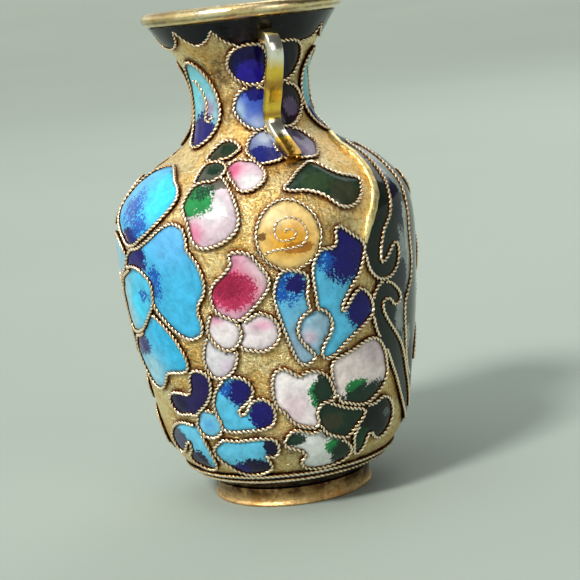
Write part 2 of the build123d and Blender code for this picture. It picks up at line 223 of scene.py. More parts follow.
# ---- materials
class Nodes:
    """Short hand for building a node tree."""

    def __init__(self, name):
        self.mat = bpy.data.materials.new(name)
        self.mat.use_nodes = True
        self.t = self.mat.node_tree
        self.p = self.t.nodes["Principled BSDF"]
        self.co = self.new("ShaderNodeTexCoord").outputs["Object"]

    def new(self, kind, inputs=None, **props):
        n = self.t.nodes.new(kind)
        for k, v in props.items():
            setattr(n, k, v)
        for k, v in (inputs or {}).items():
            self.put(n.inputs[k], v)
        return n

    def put(self, socket, value):
        if isinstance(value, bpy.types.NodeSocket):
            self.t.links.new(value, socket)
        else:
            socket.default_value = value

    def noise(self, scale, detail=4.0, rough=0.55, distort=0.0, vector=None):
        inputs = {"Vector": vector or self.co, "Scale": scale, "Detail": detail, "Roughness": rough}
        return self.new("ShaderNodeTexNoise", {**inputs, "Distortion": distort}).outputs["Fac"]

    def cells(self, scale):
        return self.new("ShaderNodeTexVoronoi", {"Vector": self.co, "Scale": scale}).outputs["Distance"]

    def stretched(self, factors):
        return self.new("ShaderNodeMapping", {"Vector": self.co, "Scale": factors}).outputs["Vector"]

    def math(self, op, a, b=0.0, clamp=False):
        return self.new("ShaderNodeMath", {0: a, 1: b}, operation=op, use_clamp=clamp).outputs[0]

    def add(self, a, b, times=1.0):
        """a + b * times."""
        return self.math("ADD", a, b if times == 1.0 else self.math("MULTIPLY", b, times))

    def centred(self, noise, times):
        """Noise shifted to swing about zero, times a factor."""
        return self.math("MULTIPLY", self.math("SUBTRACT", noise, 0.5), times)

    def span(self, value, low, high, to_low=0.0, to_high=1.0, smooth=False):
        """Value carried over from the range low to high to another range."""
        inputs = {"Value": value, "From Min": low, "From Max": high, "To Min": to_low, "To Max": to_high}
        kind = "SMOOTHSTEP" if smooth else "LINEAR"
        return self.new("ShaderNodeMapRange", inputs, interpolation_type=kind).outputs["Result"]

    def mix(self, fac, a, b):
        return self.new("ShaderNodeMix", {"Factor": fac, "A": a, "B": b}, data_type="RGBA").outputs["Result"]

    def scale(self, color, factor):
        inputs = {0: color, "Scale": factor}
        return self.new("ShaderNodeVectorMath", inputs, operation="SCALE").outputs["Vector"]

    def attr(self, name, color=False):
        n = self.new("ShaderNodeAttribute", attribute_name=name)
        return n.outputs["Color" if color else "Fac"]

    def bump(self, height, strength, distance):
        inputs = {"Height": height, "Strength": strength, "Distance": distance}
        return self.new("ShaderNodeBump", inputs).outputs["Normal"]

    def out(self, color, rough, normal, metallic=0.0, **sockets):
        sockets.update(Base_Color=color, Roughness=rough, Normal=normal, Metallic=metallic)
        for k, v in sockets.items():
            self.put(self.p.inputs[k.replace("_", " ")], v)
        return self.mat


def gilt(name, light, mid, dark, rough, grain, relief, worn, stained_and_shaded=True, painted_glint=0.0):
    """Gilding: patchy colour, rubbed high spots, stippled relief, brown firing discolouration beside the
    wires that is partly painted shade, painted shade patches and painted glints.
    """
    n = Nodes(name)
    patch = n.noise(260, 5, 0.6, 0.4)
    fine = n.noise(grain, 6, 0.65)
    scratch = n.noise(900, 4, 0.65, 1.6, n.stretched((1, 1, 6)))
    color = n.mix(n.span(patch, 0.35, 0.65, smooth=True), mid, light)
    color = n.mix(n.span(fine, 0.50, 0.66, 0, worn), color, dark)
    if stained_and_shaded:
        ragged = n.span(n.noise(700, 4, 0.6), 0.3, 0.56, 0.35, 1.25)
        # Brown beside the wires: partly fire discolouring, partly painted shade cast by the ropes.
        color = n.mix(n.math("MULTIPLY", n.attr("near"), ragged, True), color, srgb(154, 74, 18))
        aged = n.span(n.noise(150, 4, 0.6, 0.5), 0.54, 0.70, 0, 0.5, smooth=True)
        color = n.mix(aged, color, srgb(150, 116, 66))
        # Painted shade: dark brown where the attribute read below is high, broken up by noise.
        shade_breakup = n.span(n.noise(420, 5, 0.65), 0.36, 0.56, 0.35, 1.0)
        color = n.mix(n.math("MULTIPLY", n.attr("age"), shade_breakup, True), color, srgb(72, 44, 22))
        # Painted glints: near white specks on the gilding.
        color = n.mix(n.span(fine, 0.42, 0.34, 0, painted_glint), color, srgb(255, 248, 218))
    pits = n.span(n.cells(grain * 0.9), 0.0, 0.5)
    h = n.add(n.add(n.math("MULTIPLY", fine, 0.8), pits, 0.35), scratch, 0.9)
    if stained_and_shaded:
        h = n.add(h, n.noise(1000, 4, 0.6), 1.6)
    return n.out(color, n.span(n.add(fine, scratch, 0.6), 0.55, 1.1, *rough), n.bump(h, relief, 0.00012), 1.0)


def wire_gold():
    """Gilded rope: bright crests with painted highlights, painted brown shade in the hollows between the
    strands.
    """
    n = Nodes("gilt_wire")
    fine = n.noise(2200, 4, 0.6)
    crest = n.add(n.attr("top"), n.centred(fine, 0.5))
    # Painted shade in the hollows and painted highlights on the crests, by how high each point stands.
    color = n.mix(n.span(crest, 0.34, 0.66, smooth=True), srgb(44, 22, 9), srgb(226, 176, 112))
    color = n.mix(n.span(crest, 0.62, 0.88, smooth=True), color, srgb(255, 246, 226))
    color = n.mix(n.span(n.noise(300, 3), 0.55, 0.75, 0, 0.3), color, srgb(214, 160, 96))
    grain = n.bump(n.noise(3000, 4, 0.6), 0.35, 0.00008)
    return n.out(color, n.span(fine, 0.3, 0.7, 0.15, 0.36), grain, 1.0)


def handle_gold():
    """Polished strap, with painted reflections and highlights in bands down its length."""
    n = Nodes("gilt_handle")
    fine = n.noise(1500, 4, 0.6)
    tone = n.add(n.attr("tone"), n.centred(n.noise(500, 3), 0.35))
    color = n.mix(n.span(tone, 0.1, 0.35), srgb(132, 116, 62), srgb(196, 150, 66))
    color = n.mix(n.span(tone, 0.4, 0.6), color, srgb(255, 216, 84))
    color = n.mix(n.span(tone, 0.7, 0.95), color, srgb(255, 250, 232))
    color = n.mix(n.span(fine, 0.56, 0.7, 0, 0.3), color, srgb(150, 104, 40))
    h = n.add(n.noise(700, 3), fine, 0.3)
    return n.out(color, n.span(fine, 0.3, 0.7, 0.1, 0.26), n.bump(h, 0.25, 0.0002), 1.0)


def enamel(name):
    """Fired glass: layered colours whose borders break into specks, pits, painted dark shade along the wires.
    """
    n = Nodes(name)
    edge = n.add(n.centred(n.noise(3600, 3, 0.65), 1.7), n.centred(n.noise(900, 3, 0.6, 0.6), 0.8))
    color = n.attr("c0", True)
    for i in (1, 2, 3):
        paint = n.attr(f"m{i}")
        inside = n.span(n.add(paint, edge), 0.34, 0.48, smooth=True)
        laid_on = n.math("MULTIPLY", inside, n.span(paint, 0.0, 0.1), True)
        color = n.mix(laid_on, color, n.attr(f"c{i}", True))
    color = n.scale(color, n.span(n.noise(800, 5, 0.62, 0.5), 0.3, 0.72, 0.74, 1.2))
    color = n.mix(n.span(n.noise(1900, 4, 0.7), 0.6, 0.8, 0, 0.03), color, srgb(225, 232, 236))
    # Painted shade: dark brown inside the wires and along the panel's edge.
    seam = n.math("MULTIPLY", n.attr("seam"), n.span(n.noise(1500, 3), 0.35, 0.6, 0.2, 1.0), True)
    color = n.mix(seam, color, srgb(40, 24, 16))
    pit = n.span(n.cells(1500), 0.05, 0.0)
    color = n.mix(n.math("MULTIPLY", pit, 0.5), color, srgb(40, 38, 36))
    h = n.add(n.math("MULTIPLY", n.noise(420, 2, 0.5), 0.6), pit, -0.6)
    gloss = n.span(n.noise(700, 4, 0.6), 0.35, 0.7, 0.06, 0.2)
    return n.out(color, gloss, n.bump(h, 0.35, 0.0002), IOR=1.4, Specular_IOR_Level=0.36,
                 Coat_Weight=0.05, Coat_Roughness=0.05)


def plain_enamel(name, base, second, rough):
    """Enamel of one clouded colour."""
    n = Nodes(name)
    fine = n.noise(2400, 4, 0.6)
    color = n.mix(n.span(n.noise(300, 4, 0.6, 0.8), 0.4, 0.7, smooth=True), base, second)
    color = n.mix(n.span(fine, 0.6, 0.85, 0, 0.12), color, srgb(120, 124, 130))
    h = n.add(n.math("MULTIPLY", n.noise(240, 2, 0.5), 0.8), fine, 0.1)
    return n.out(color, n.span(fine, 0.3, 0.7, *rough), n.bump(h, 0.5, 0.0003), IOR=1.36,
                 Specular_IOR_Level=0.4)


GROUND = gilt("gilt_ground", srgb(255, 236, 176), srgb(248, 206, 122), srgb(160, 104, 40),
              rough=(0.24, 0.48), grain=2300, relief=1.5, worn=0.7, painted_glint=0.8)
WIRE_GOLD = wire_gold()
BAND_GOLD = gilt("gilt_band", srgb(252, 232, 168), srgb(240, 212, 136), srgb(170, 124, 60),
                 rough=(0.2, 0.4), grain=1800, relief=0.5, worn=0.45, stained_and_shaded=False)
RIM_GOLD = gilt("gilt_rim", srgb(252, 236, 192), srgb(240, 212, 150), srgb(160, 120, 70),
                rough=(0.08, 0.2), grain=1800, relief=0.25, worn=0.3)
FOOT_GOLD = gilt("gilt_foot", srgb(238, 198, 136), srgb(206, 154, 88), srgb(110, 66, 28),
                 rough=(0.26, 0.44), grain=1800, relief=0.6, worn=0.6)
HANDLE_GOLD = handle_gold()
GLASS = enamel("enamel_painted")
NAVY = plain_enamel("enamel_navy", srgb(5, 5, 9), srgb(14, 15, 28), rough=(0.06, 0.2))
COUNTER = plain_enamel("enamel_counter", srgb(32, 84, 116), srgb(46, 108, 140), rough=(0.15, 0.35))

# ---- colours
CYAN = (52, 200, 240)
TURQ = (44, 168, 214)
SKY = (92, 172, 226)
PALE = (142, 190, 206)
COBALT = (22, 16, 98)
NIGHT = (16, 12, 52)
BLUE = (18, 80, 170)
GREY_BLUE = (140, 172, 194)
ROSE = (176, 44, 84)
PINK = (206, 150, 176)
LILAC = (206, 190, 208)
WHITE = (214, 214, 216)
GREEN = (30, 128, 66)
DARK_GREEN = (28, 50, 38)
OLIVE = (52, 56, 40)
MOSS = (18, 66, 40)
WINE = (146, 26, 62)
AMBER = (212, 160, 52)


# ---- pattern
# Cells as (outline, ground colour, [(colour, angle, height, half width in degrees, half height)]).
# Angles are degrees from the datum line, heights are millimetres.
HANDLE_MIDDLE = 18.0  # where a handle stands
PANEL_MIDDLE = 108.0  # the panel at the back is the same on both sides of this line


def oval(a, h, wide, tall, step, tilt=0.0):
    """Outline of an ellipse about (a, h), a point every step degrees, leaning by tilt."""
    u = np.radians(np.arange(0, 360, step))
    return list(zip(a + wide * np.cos(u), h + tall * np.sin(u) + tilt * np.cos(u)))


def beyond_handle(outline, widened):
    """A palmette's outline mirrored to the other side of the handle, and widened."""
    return [(2 * HANDLE_MIDDLE - a * widened, h) for a, h in outline]


FLOWER = [
    ([(-60, 44.7), (-54, 44.4), (-48, 43.8), (-43, 43), (-39.5, 42.4), (-37.2, 41.4), (-38.6, 40.3),
      (-42, 39.2), (-46, 38.2), (-50, 37.3), (-54, 36.6), (-58, 35.9), (-64, 35.8), (-70, 37), (-77, 38.4),
      (-82, 40.2), (-80, 42.6), (-72, 44.2)],
     (70, 172, 224),
     [(CYAN, -46, 42, 11, 2.8), (BLUE, -64, 40, 9, 2.4), (COBALT, -62, 36.9, 7, 1.1),
      (BLUE, -56, 38.2, 7, 1.6)]),
    ([(-56, 35.5), (-50.5, 36.3), (-46, 37.2), (-42, 38), (-38, 38.5), (-34.5, 38.4), (-31.5, 37.8),
      (-30.3, 36.6), (-30.2, 35.5), (-28.5, 34.7), (-26.6, 33.7), (-25.2, 32.2), (-24.9, 30.9),
      (-26, 29.7), (-28.3, 28.7), (-29.2, 27.5), (-28.4, 26.2), (-29, 25), (-31.5, 24.4), (-35, 24.2),
      (-39, 24.7), (-43, 25.6), (-46.5, 26.7), (-49, 27.6), (-50.6, 28.6), (-50, 30), (-50.3, 31.2),
      (-53, 32.2), (-57, 32.9), (-62, 33.1), (-66.5, 32.9), (-65, 34.2), (-61, 35.2)],
     (62, 172, 218),
     [(SKY, -38, 37, 13, 3.2), (BLUE, -47.5, 31.2, 4.2, 2.8), (COBALT, -58.5, 34.2, 8, 2.0)]),
    ([(-74, 31.2), (-69, 32), (-64, 32.6), (-59, 32.9), (-55, 32.4), (-51.8, 31.6), (-50.4, 30.6),
      (-50.6, 29.2), (-52.2, 28), (-55.5, 26.9), (-59, 25.8), (-63, 24.9), (-69, 24.3), (-76, 24.4),
      (-80, 26.2), (-79.5, 29)],
     # The CYAN spot at -63 is a painted highlight.
     (70, 180, 218), [(PALE, -72, 28, 8, 4), (CYAN, -63, 28.4, 6, 2.2), (BLUE, -56, 29.5, 4, 0.9)]),
    ([(-67, 34.5), (-72, 35.8), (-79, 36.6), (-88, 36.4), (-96, 35), (-97, 33), (-90, 31.2), (-82, 30.4),
      (-75, 31.6), (-69, 32.8)],
     PALE, [(SKY, -90, 34, 8, 2)]),
    ([(-53, 27), (-50.5, 26.6), (-47, 25.7), (-43.5, 24.5), (-41, 23.2), (-39.2, 22), (-38.6, 21),
      (-39.6, 20.1), (-43, 19.7), (-48, 19.6), (-52, 19.3), (-54.5, 18.3), (-58, 17.3), (-62, 17),
      (-68, 17.6), (-74, 19.6), (-77, 21.8), (-73, 23.5), (-66, 24), (-60, 25.1), (-56, 26.2)],
     TURQ, [(PALE, -63, 19.4, 9, 2.4), (COBALT, -69, 22.7, 10, 1.5)]),
    ([(-81, 22), (-87, 20.8), (-95, 21), (-101, 23.6), (-101, 27.6), (-94, 29.4), (-86, 29), (-82, 26)],
     TURQ, [(SKY, -92, 23, 8, 2), (BLUE, -88, 27.5, 6, 2)]),
    ([(-85, 38.6), (-92, 37.6), (-100, 38.2), (-105, 40.4), (-99, 42.8), (-90, 42.8), (-84.5, 41)],
     SKY, [(CYAN, -97, 41.5, 8, 2), (BLUE, -89, 39.5, 5, 1.6)]),
]
BUD = [
    ([(-30.5, 42.5), (-26, 42.9), (-22, 42.9), (-18.5, 43.3), (-15, 42.6), (-12.5, 41.6), (-10.8, 40.6),
      (-9.6, 39.4), (-9.5, 38.3), (-10.5, 37.4), (-12.5, 36.7), (-15.5, 36.1), (-19, 35.7), (-22.5, 35.5),
      (-25.5, 35.7), (-27.5, 36.4), (-28.5, 37.3), (-29.5, 38.5), (-31.5, 39.5), (-33, 40.5),
      (-32.5, 41.5)],
     (204, 184, 196),
     [(WHITE, -20, 39.9, 6, 1.3), ((212, 126, 158), -27, 37.2, 3.6, 1.3),
      ((96, 92, 84), -20, 42.6, 6, 0.7), (GREEN, -27.5, 41, 8, 1.9), (MOSS, -26, 42, 7, 1.2)]),
    ([(-30.6, 44.7), (-25, 44.9), (-20, 44.7), (-17, 44.2), (-17.5, 43.6), (-20, 43.2), (-23, 43),
      (-27, 43), (-30.6, 42.7), (-31.6, 43.7)],
     (72, 76, 64), [(DARK_GREEN, -24, 44.2, 5, 0.6)]),
    ([(-33.5, 45.3), (-31, 46.4), (-26, 47.1), (-20, 47.2), (-14.5, 46.8), (-11.3, 46.2), (-14, 45.7),
      (-18, 45.2), (-24, 45.1), (-29, 45)],
     OLIVE, [(DARK_GREEN, -20, 46.2, 7, 0.6)]),
    ([(-16, 44.4), (-12, 44.9), (-7, 44.8), (-2, 44.6), (1, 44.1), (3, 43.3), (1.5, 42.4), (-2, 41.8),
      (-6, 41.5), (-9.5, 41.8), (-11.5, 42.5), (-14, 43.2)],
     (208, 180, 196), [((208, 96, 136), -13, 43.8, 4.5, 1.0), (WHITE, -4, 42.6, 5, 0.8)]),
]
LEAF = [
    ([(9.5, 41.4), (13, 42.1), (17, 42.9), (21, 43.4), (26, 43.8), (30, 43.5), (33, 42.7), (37, 42),
      (41, 41.6), (44.8, 41.1), (43.5, 40.3), (41, 39.4), (38, 38.7), (34, 38.3), (30, 38.5), (27.5, 39.1),
      (25, 39.9), (21.5, 40.5), (17, 40.9), (12.5, 41)],
     DARK_GREEN, [((46, 66, 42), 24, 41.6, 8, 1.2), (OLIVE, 34, 40, 7, 1.4)]),
]
DISC = [
    (oval(8, 36.1, 11.8, 4.1, 24),
     (226, 196, 128),
     [((222, 158, 36), 8, 35.7, 8, 2.2), ((238, 214, 160), 4, 38.4, 6, 1.1),
      ((168, 108, 36), 11, 34.6, 6, 0.7), ((120, 84, 44), -1.6, 36.4, 1.5, 0.5)]),
]
ROSE_PETALS = [
    ([(-14, 34.6), (-10, 34.8), (-6.5, 34.3), (-4.5, 33.4), (-2.5, 32.4), (-1, 31.4), (-1.3, 30.2),
      (-3.5, 29.2), (-6, 28.3), (-9, 27.4), (-12, 26.6), (-14.5, 26.4), (-17.5, 26.8), (-20, 27.2),
      (-22, 27.8), (-23, 29), (-22.8, 30.2), (-21, 31.2), (-18, 32), (-15.5, 32.7), (-14, 33.5)],
     PINK,
     [(WHITE, -5.5, 31.8, 5.2, 2.2), (LILAC, -16, 27.4, 8, 0.9), ((214, 92, 132), -14.5, 30.4, 10, 3),
      (ROSE, -14.8, 30.2, 9.0, 2.4), (WINE, -15, 30.6, 6.5, 1.8)]),
    ([(-24, 27.2), (-20.5, 27), (-17, 26.6), (-14.5, 26.1), (-13.3, 25), (-14.3, 23.9), (-17, 22.9),
      (-20, 22.7), (-23, 23.2), (-25.5, 24.2), (-26.5, 25.3), (-25.5, 26.4)],
     (222, 214, 218), [((216, 154, 180), -23, 26.8, 4, 0.7)]),
    ([(-13, 25.8), (-9.5, 26.6), (-6, 27.1), (-3, 26.8), (-0.5, 26.1), (0.8, 25), (0.3, 23.7), (-2, 22.8),
      (-6, 22.3), (-10, 22.5), (-13.5, 22.8), (-14.5, 23.6), (-12.8, 24.6)],
     (224, 214, 218), [((216, 164, 188), -5, 25.6, 4, 0.6)]),
    ([(-27, 24.3), (-24, 23.3), (-20, 22.4), (-16.3, 22.4), (-16.8, 21.3), (-18.5, 20.2), (-22, 19.3),
      (-26, 19.1), (-29, 19.8), (-30.3, 21.3), (-29.5, 22.8)],
     (208, 206, 212), [(LILAC, -20, 20.6, 4, 1)]),
]
BLOSSOM = [
    ([(5, 32), (9, 31.8), (12.5, 31.2), (13, 30), (12.3, 28.8), (12.5, 27.5), (13, 26.7), (10.5, 26.2),
      (8.3, 25.3), (7.6, 24.1), (9, 22.9), (11.5, 21.8), (13.5, 20.9), (11.5, 20.1), (8.5, 20),
      (6.3, 20.8), (4.7, 22.2), (3.4, 23.7), (2.3, 25.2), (1, 27), (0.2, 28.8), (1, 30.3), (2.8, 31.5)],
     (92, 180, 220), [(GREY_BLUE, 8, 22, 6, 3.4), (BLUE, 6, 29.9, 8.5, 2.4), (COBALT, 8.5, 30.2, 4, 1.2)]),
    ([(15, 30.5), (15.2, 31.8), (16.8, 33.1), (19.5, 33.9), (23.5, 33.9), (25.2, 34.6), (25.5, 35.8),
      (27.3, 36.3), (29.8, 35.7), (32.5, 34.9), (35.5, 34.2), (37, 33.2), (36, 32), (35, 31), (33.2, 29.9),
      (30.5, 28.9), (28, 27.8), (25.8, 26.6), (25.8, 25.8), (28, 26.5), (31, 27.7), (34, 28.2), (37, 27.5),
      (39.2, 26.3), (39.5, 24.9), (37, 24), (33, 23.2), (29, 22.4), (25, 21.5), (21.5, 20.6), (18, 20.3),
      (16.3, 21), (17.3, 22.1), (19.5, 23.1), (21, 24.3), (20.3, 25.6), (18.3, 26.4), (16, 26.8),
      (15.5, 28.3)],
     (86, 184, 224),
     [(COBALT, 29.5, 33.2, 11, 4.2), (BLUE, 19.5, 32.6, 5, 1.6), (COBALT, 34, 25.8, 6.5, 2.8)]),
    ([(13.5, 26.4), (10.5, 26.1), (8.5, 25.2), (8, 24), (9.5, 22.8), (12, 21.8), (14.5, 21), (15.8, 20.9),
      (16.3, 21.8), (18, 22.8), (20, 23.9), (20.3, 25), (18.8, 26), (16.3, 26.5)],
     (134, 186, 210), [(LILAC, 12, 23.4, 3, 1), (GREY_BLUE, 16, 25, 3, 1)]),
]
BUTTERFLY = [
    ([(-38, 19.8), (-35, 20.1), (-31.5, 19.8), (-29.8, 19), (-30, 17.8), (-31.5, 16.6), (-34.5, 15.5),
      (-38, 14.7), (-41, 14), (-44.5, 14.1), (-50, 13.9), (-53.5, 14.3), (-55.5, 15.1), (-55, 16.1),
      (-52, 16.8), (-47, 16.9), (-42.5, 16.8), (-40.3, 17.6), (-39.5, 18.8)],
     (30, 20, 78), [(NIGHT, -50, 15.5, 6, 1.2)]),
    ([(-30, 14.3), (-30.3, 15.6), (-28.8, 17), (-26, 18.2), (-22, 19.1), (-17.5, 19.2), (-14, 18.6),
      (-12.2, 17.4), (-14, 16.2), (-17, 15.4), (-19.5, 14.8), (-19, 14.2), (-16.5, 14.5), (-14.5, 15.5),
      (-11.5, 16.1), (-8, 16), (-5.3, 15.1), (-4.7, 13.8), (-6.5, 12.6), (-11, 12.1), (-17, 12),
      (-23, 11.9), (-28, 12.2), (-28.8, 13.2)],
     (84, 182, 220), [(COBALT, -17, 17.2, 7, 1.9), (BLUE, -24, 17.8, 4, 1), (COBALT, -9, 14, 6.5, 2.2)]),
    ([(-35, 14.8), (-31.5, 14.5), (-29, 13.7), (-28.2, 12.7), (-30, 11.7), (-34, 11.1), (-38, 11.2),
      (-40.8, 11.9), (-41.2, 13), (-39, 14.1)],
     (112, 186, 214), [(SKY, -35, 12.8, 3, 0.8)]),
    ([(-33, 10.2), (-29.5, 10.8), (-24, 10.7), (-18, 10.8), (-12, 10.9), (-7, 10.7), (-5, 9.9),
      (-5.5, 8.8), (-8, 8.3), (-11, 8.4), (-9.8, 7.4), (-10, 6.6), (-14, 6), (-19, 5.7), (-24, 5.8),
      (-28, 6.3), (-31, 7), (-34, 7.8), (-36, 8.7), (-35.5, 9.6)],
     (92, 182, 216), [(NIGHT, -18, 6.7, 11, 1.5), (NIGHT, -8, 9.6, 3.6, 1.4), (COBALT, -26, 6.6, 5, 1)]),
    ([(-44, 12.5), (-50, 12.8), (-56, 12.4), (-61, 11.5), (-64.5, 10.2), (-64, 8.9), (-60, 8.3),
      (-56, 8.8), (-52.5, 9.8), (-50, 10), (-51, 8.9), (-54.5, 8.1), (-54.5, 7.1), (-50, 6.4), (-45, 6.2),
      (-40.5, 6.5), (-38.3, 7.5), (-38.5, 9), (-39.8, 10.6), (-41.5, 11.8)],
     (96, 184, 216), [((62, 68, 92), -60, 10.3, 8, 2), (NIGHT, -48.5, 7.6, 6.5, 1.5)]),
]
FOLIAGE = [
    ([(-4.3, 18), (-3, 19.3), (0, 19.8), (3, 19.4), (6.5, 18.6), (10.5, 19), (14.5, 18.8), (17.8, 18),
      (19.7, 16.7), (20.8, 15.2), (18.5, 14.7), (15, 14.5), (12.8, 13.5), (13.2, 12.3), (12, 11.6),
      (8, 11.8), (4.5, 12.2), (1.5, 13), (-0.5, 14), (-3.3, 14.8), (-4.4, 16.2)],
     (242, 234, 236),
     [((226, 204, 212), 4, 14.5, 5, 2), (GREEN, 13.5, 16, 3.6, 1.9), (DARK_GREEN, 16.5, 16.2, 5, 2.2)]),
    ([(13.5, 12.5), (13.3, 13.5), (15, 14.4), (18, 14.5), (21.5, 14), (25, 13.5), (29, 13.1), (33, 12.8),
      (35.5, 12.3), (34, 11.4), (31, 10.6), (28, 9.8), (25.5, 9.5), (21, 9.9), (17.5, 10.4), (15, 11.2)],
     DARK_GREEN, [(OLIVE, 19, 12, 5, 1.2)]),
    ([(21, 16.5), (19.8, 18), (20, 19.3), (22.5, 20.1), (27, 20.5), (31, 20.9), (35, 21.4), (39, 21.6),
      (43, 21), (46, 19.6), (47.5, 18), (48.3, 16.5), (46.5, 15.2), (43, 14.3), (39, 13.6), (35.5, 13.3),
      (31, 13.5), (26.5, 14), (23.5, 14.3), (22.3, 15.2)],
     (242, 226, 224),
     [((216, 196, 202), 40, 20, 8, 1.6), (GREEN, 31, 15.6, 6, 1.3), (DARK_GREEN, 37, 14.4, 14, 1.6)]),
    ([(-1.5, 10.6), (2, 11.5), (6, 11.3), (10, 10.9), (14, 11), (16, 10.2), (20, 9.8), (24, 9.2),
      (27, 8.6), (29.5, 7.4), (27, 6.4), (22, 6), (16, 5.8), (10, 5.9), (6, 6.3), (4.5, 7.2), (6.5, 7.9),
      (5, 8.7), (1, 9.2), (-2, 9.7)],
     (226, 228, 226),
     [(DARK_GREEN, 1.5, 10.4, 6, 0.9), (GREEN, 20, 8.6, 4, 1.2), (DARK_GREEN, 23.5, 7.6, 5, 1.6)]),
    ([(37, 12.9), (41, 12.9), (46, 13.4), (50, 13), (53, 12), (54.2, 10.7), (53, 9.3), (50, 8.4),
      (46.5, 8), (42.5, 8.4), (39.5, 9.2), (37.5, 8.6), (36.5, 7.4), (34, 6.7), (31.5, 7), (30.5, 8.2),
      (30, 9.3), (32, 10.3), (35, 11.3), (36.5, 12)],
     (16, 22, 20), [((84, 96, 94), 49, 11.2, 2.2, 0.6), ((14, 60, 34), 35, 8.6, 4, 1.6)]),
]
PALMETTE_LEFT = [
    ([(-16.8, 56.5), (-14, 57.8), (-9, 58.6), (-3, 59), (4, 59.1), (11, 58.9), (16.4, 57.6), (17, 55.6),
      (13, 54.1), (6, 53.9), (-1, 54), (-7, 54.4), (-12.5, 55)],
     (14, 10, 78), [((36, 24, 160), 2, 55.4, 13, 1.7)]),
    ([(-17.2, 51.1), (-14, 52.5), (-8.5, 53.3), (-1, 53.6), (8, 53.5), (15, 53.2), (17, 51.4),
      (15.5, 49.4), (11, 48.4), (4, 48.1), (-2, 48.4), (-8, 49), (-13.5, 49.9)],
     (58, 92, 200),
     [((150, 178, 214), -12, 50.6, 6, 1.6), ((150, 170, 210), 3, 48.8, 10, 1.1),
      ((26, 26, 120), 6, 52.9, 12, 1.1), ((24, 30, 170), 14, 50.6, 4, 1.6)]),
    ([(-6.5, 46.2), (-4, 47.2), (1, 47.8), (7, 48), (12, 47.6), (16.5, 46.8), (17, 45.6), (14, 44.6),
      (8, 44.3), (2, 44.3), (-3, 45), (-6, 45.6)],
     (96, 108, 156), [((168, 180, 200), 7, 47.2, 6, 0.8), ((34, 40, 110), 3, 45.2, 12, 0.9)]),
]
PALMETTE_RIGHT = [
    (beyond_handle(PALMETTE_LEFT[0][0], 1), (16, 16, 18), [(NIGHT, 30, 56, 8, 2)]),
    (beyond_handle(PALMETTE_LEFT[1][0], 1.22), (34, 26, 34), [((86, 74, 100), 40, 50.6, 9, 1.2)]),
    (beyond_handle(PALMETTE_LEFT[2][0], 1.3), (112, 104, 124), [((70, 60, 80), 36, 47, 6, 0.8)]),
]
NECK_LEAF = (
    [(-31.6, 51), (-33, 52.6), (-37, 54.3), (-42, 55.8), (-48, 57.1), (-56, 57.6), (-65, 57),
     (-72, 55.2), (-76, 52.6), (-74, 50.2), (-68, 48.2), (-61, 47), (-52, 46.6), (-44, 47.2),
     (-38, 48.2), (-33.5, 49.5)],
    (120, 190, 206),
    [((110, 200, 214), -62, 53.5, 9, 2.4), ((150, 140, 166), -46, 51.4, 9, 1.3),
     (COBALT, -54, 48.6, 17, 2.3)],
)
NECK_VEIN = [(-60, 55.2), (-53, 54), (-48.5, 52.6), (-47.5, 51.2), (-50, 50.2), (-46, 49.7), (-40.5, 50.4)]
FLOWER_HEIGHT = 28.0  # of the middle of the panel's flower
PANEL_LEAVES = [(90, 18, 8, 1.7, 1.4), (126, 18, 8, 1.7, -1.4), (94, 38.5, 7, 1.5, -1),
                (122, 38.5, 7, 1.5, 1)]
PANEL_CELLS = [
    (oval(PANEL_MIDDLE + 13.5 * math.sin(t), FLOWER_HEIGHT + 4.6 * math.cos(t), 7, 2.5, 30),
     (206, 206, 204),
     [(PINK, PANEL_MIDDLE + 7 * math.sin(t), FLOWER_HEIGHT + 2.4 * math.cos(t), 6, 1.8)])
    for t in np.radians(np.arange(0, 360, 72))
]
PANEL_CELLS += [(oval(PANEL_MIDDLE, FLOWER_HEIGHT, 4.5, 1.5, 36), AMBER, [])]
PANEL_CELLS += [
    (oval(a, h, wide, tall, 30, tilt), DARK_GREEN, [(GREEN, a, h, 4, 1)])
    for a, h, wide, tall, tilt in PANEL_LEAVES
]
STEM = [(108, 21.4), (106.5, 17.5), (109.5, 13.5), (107, 10.2)]
SPIRAL = [(-1.3, 34.3), (3, 34.6), (8, 34.6), (12.5, 34.9), (14.6, 36), (13, 37.6), (8.5, 38.2), (4, 37.7),
          (3, 36.4), (5, 35.6), (9, 35.7), (10.5, 36.4), (8.5, 36.9), (6.5, 36.7)]
BORDER = [(76, 46.2), (69, 45.6), (62.5, 44.7), (58, 43.4), (54, 41.6), (50.3, 39.9), (47, 38.5),
          (44.3, 37.3), (41.6, 36.2), (39.6, 34.9), (38.2, 33.6)]
SCROLL_HIGH = [(38.2, 33.6), (37.5, 32.3), (37.9, 31.2), (39.4, 30), (43.2, 28.9), (47.6, 28.6), (52, 29),
               (55.3, 30.1), (56.4, 31.6), (55.2, 32.7), (52.6, 32.5), (50, 31.7), (47.5, 31), (45, 30.9),
               (44.9, 32), (46, 33.3), (47.8, 34.6), (50.5, 35.5), (53.2, 36.4), (55.5, 37.7), (57, 39),
               (59.8, 40.3), (61.6, 41.3), (63.6, 42.4), (66.5, 43.6), (71, 44.5), (77, 45)]
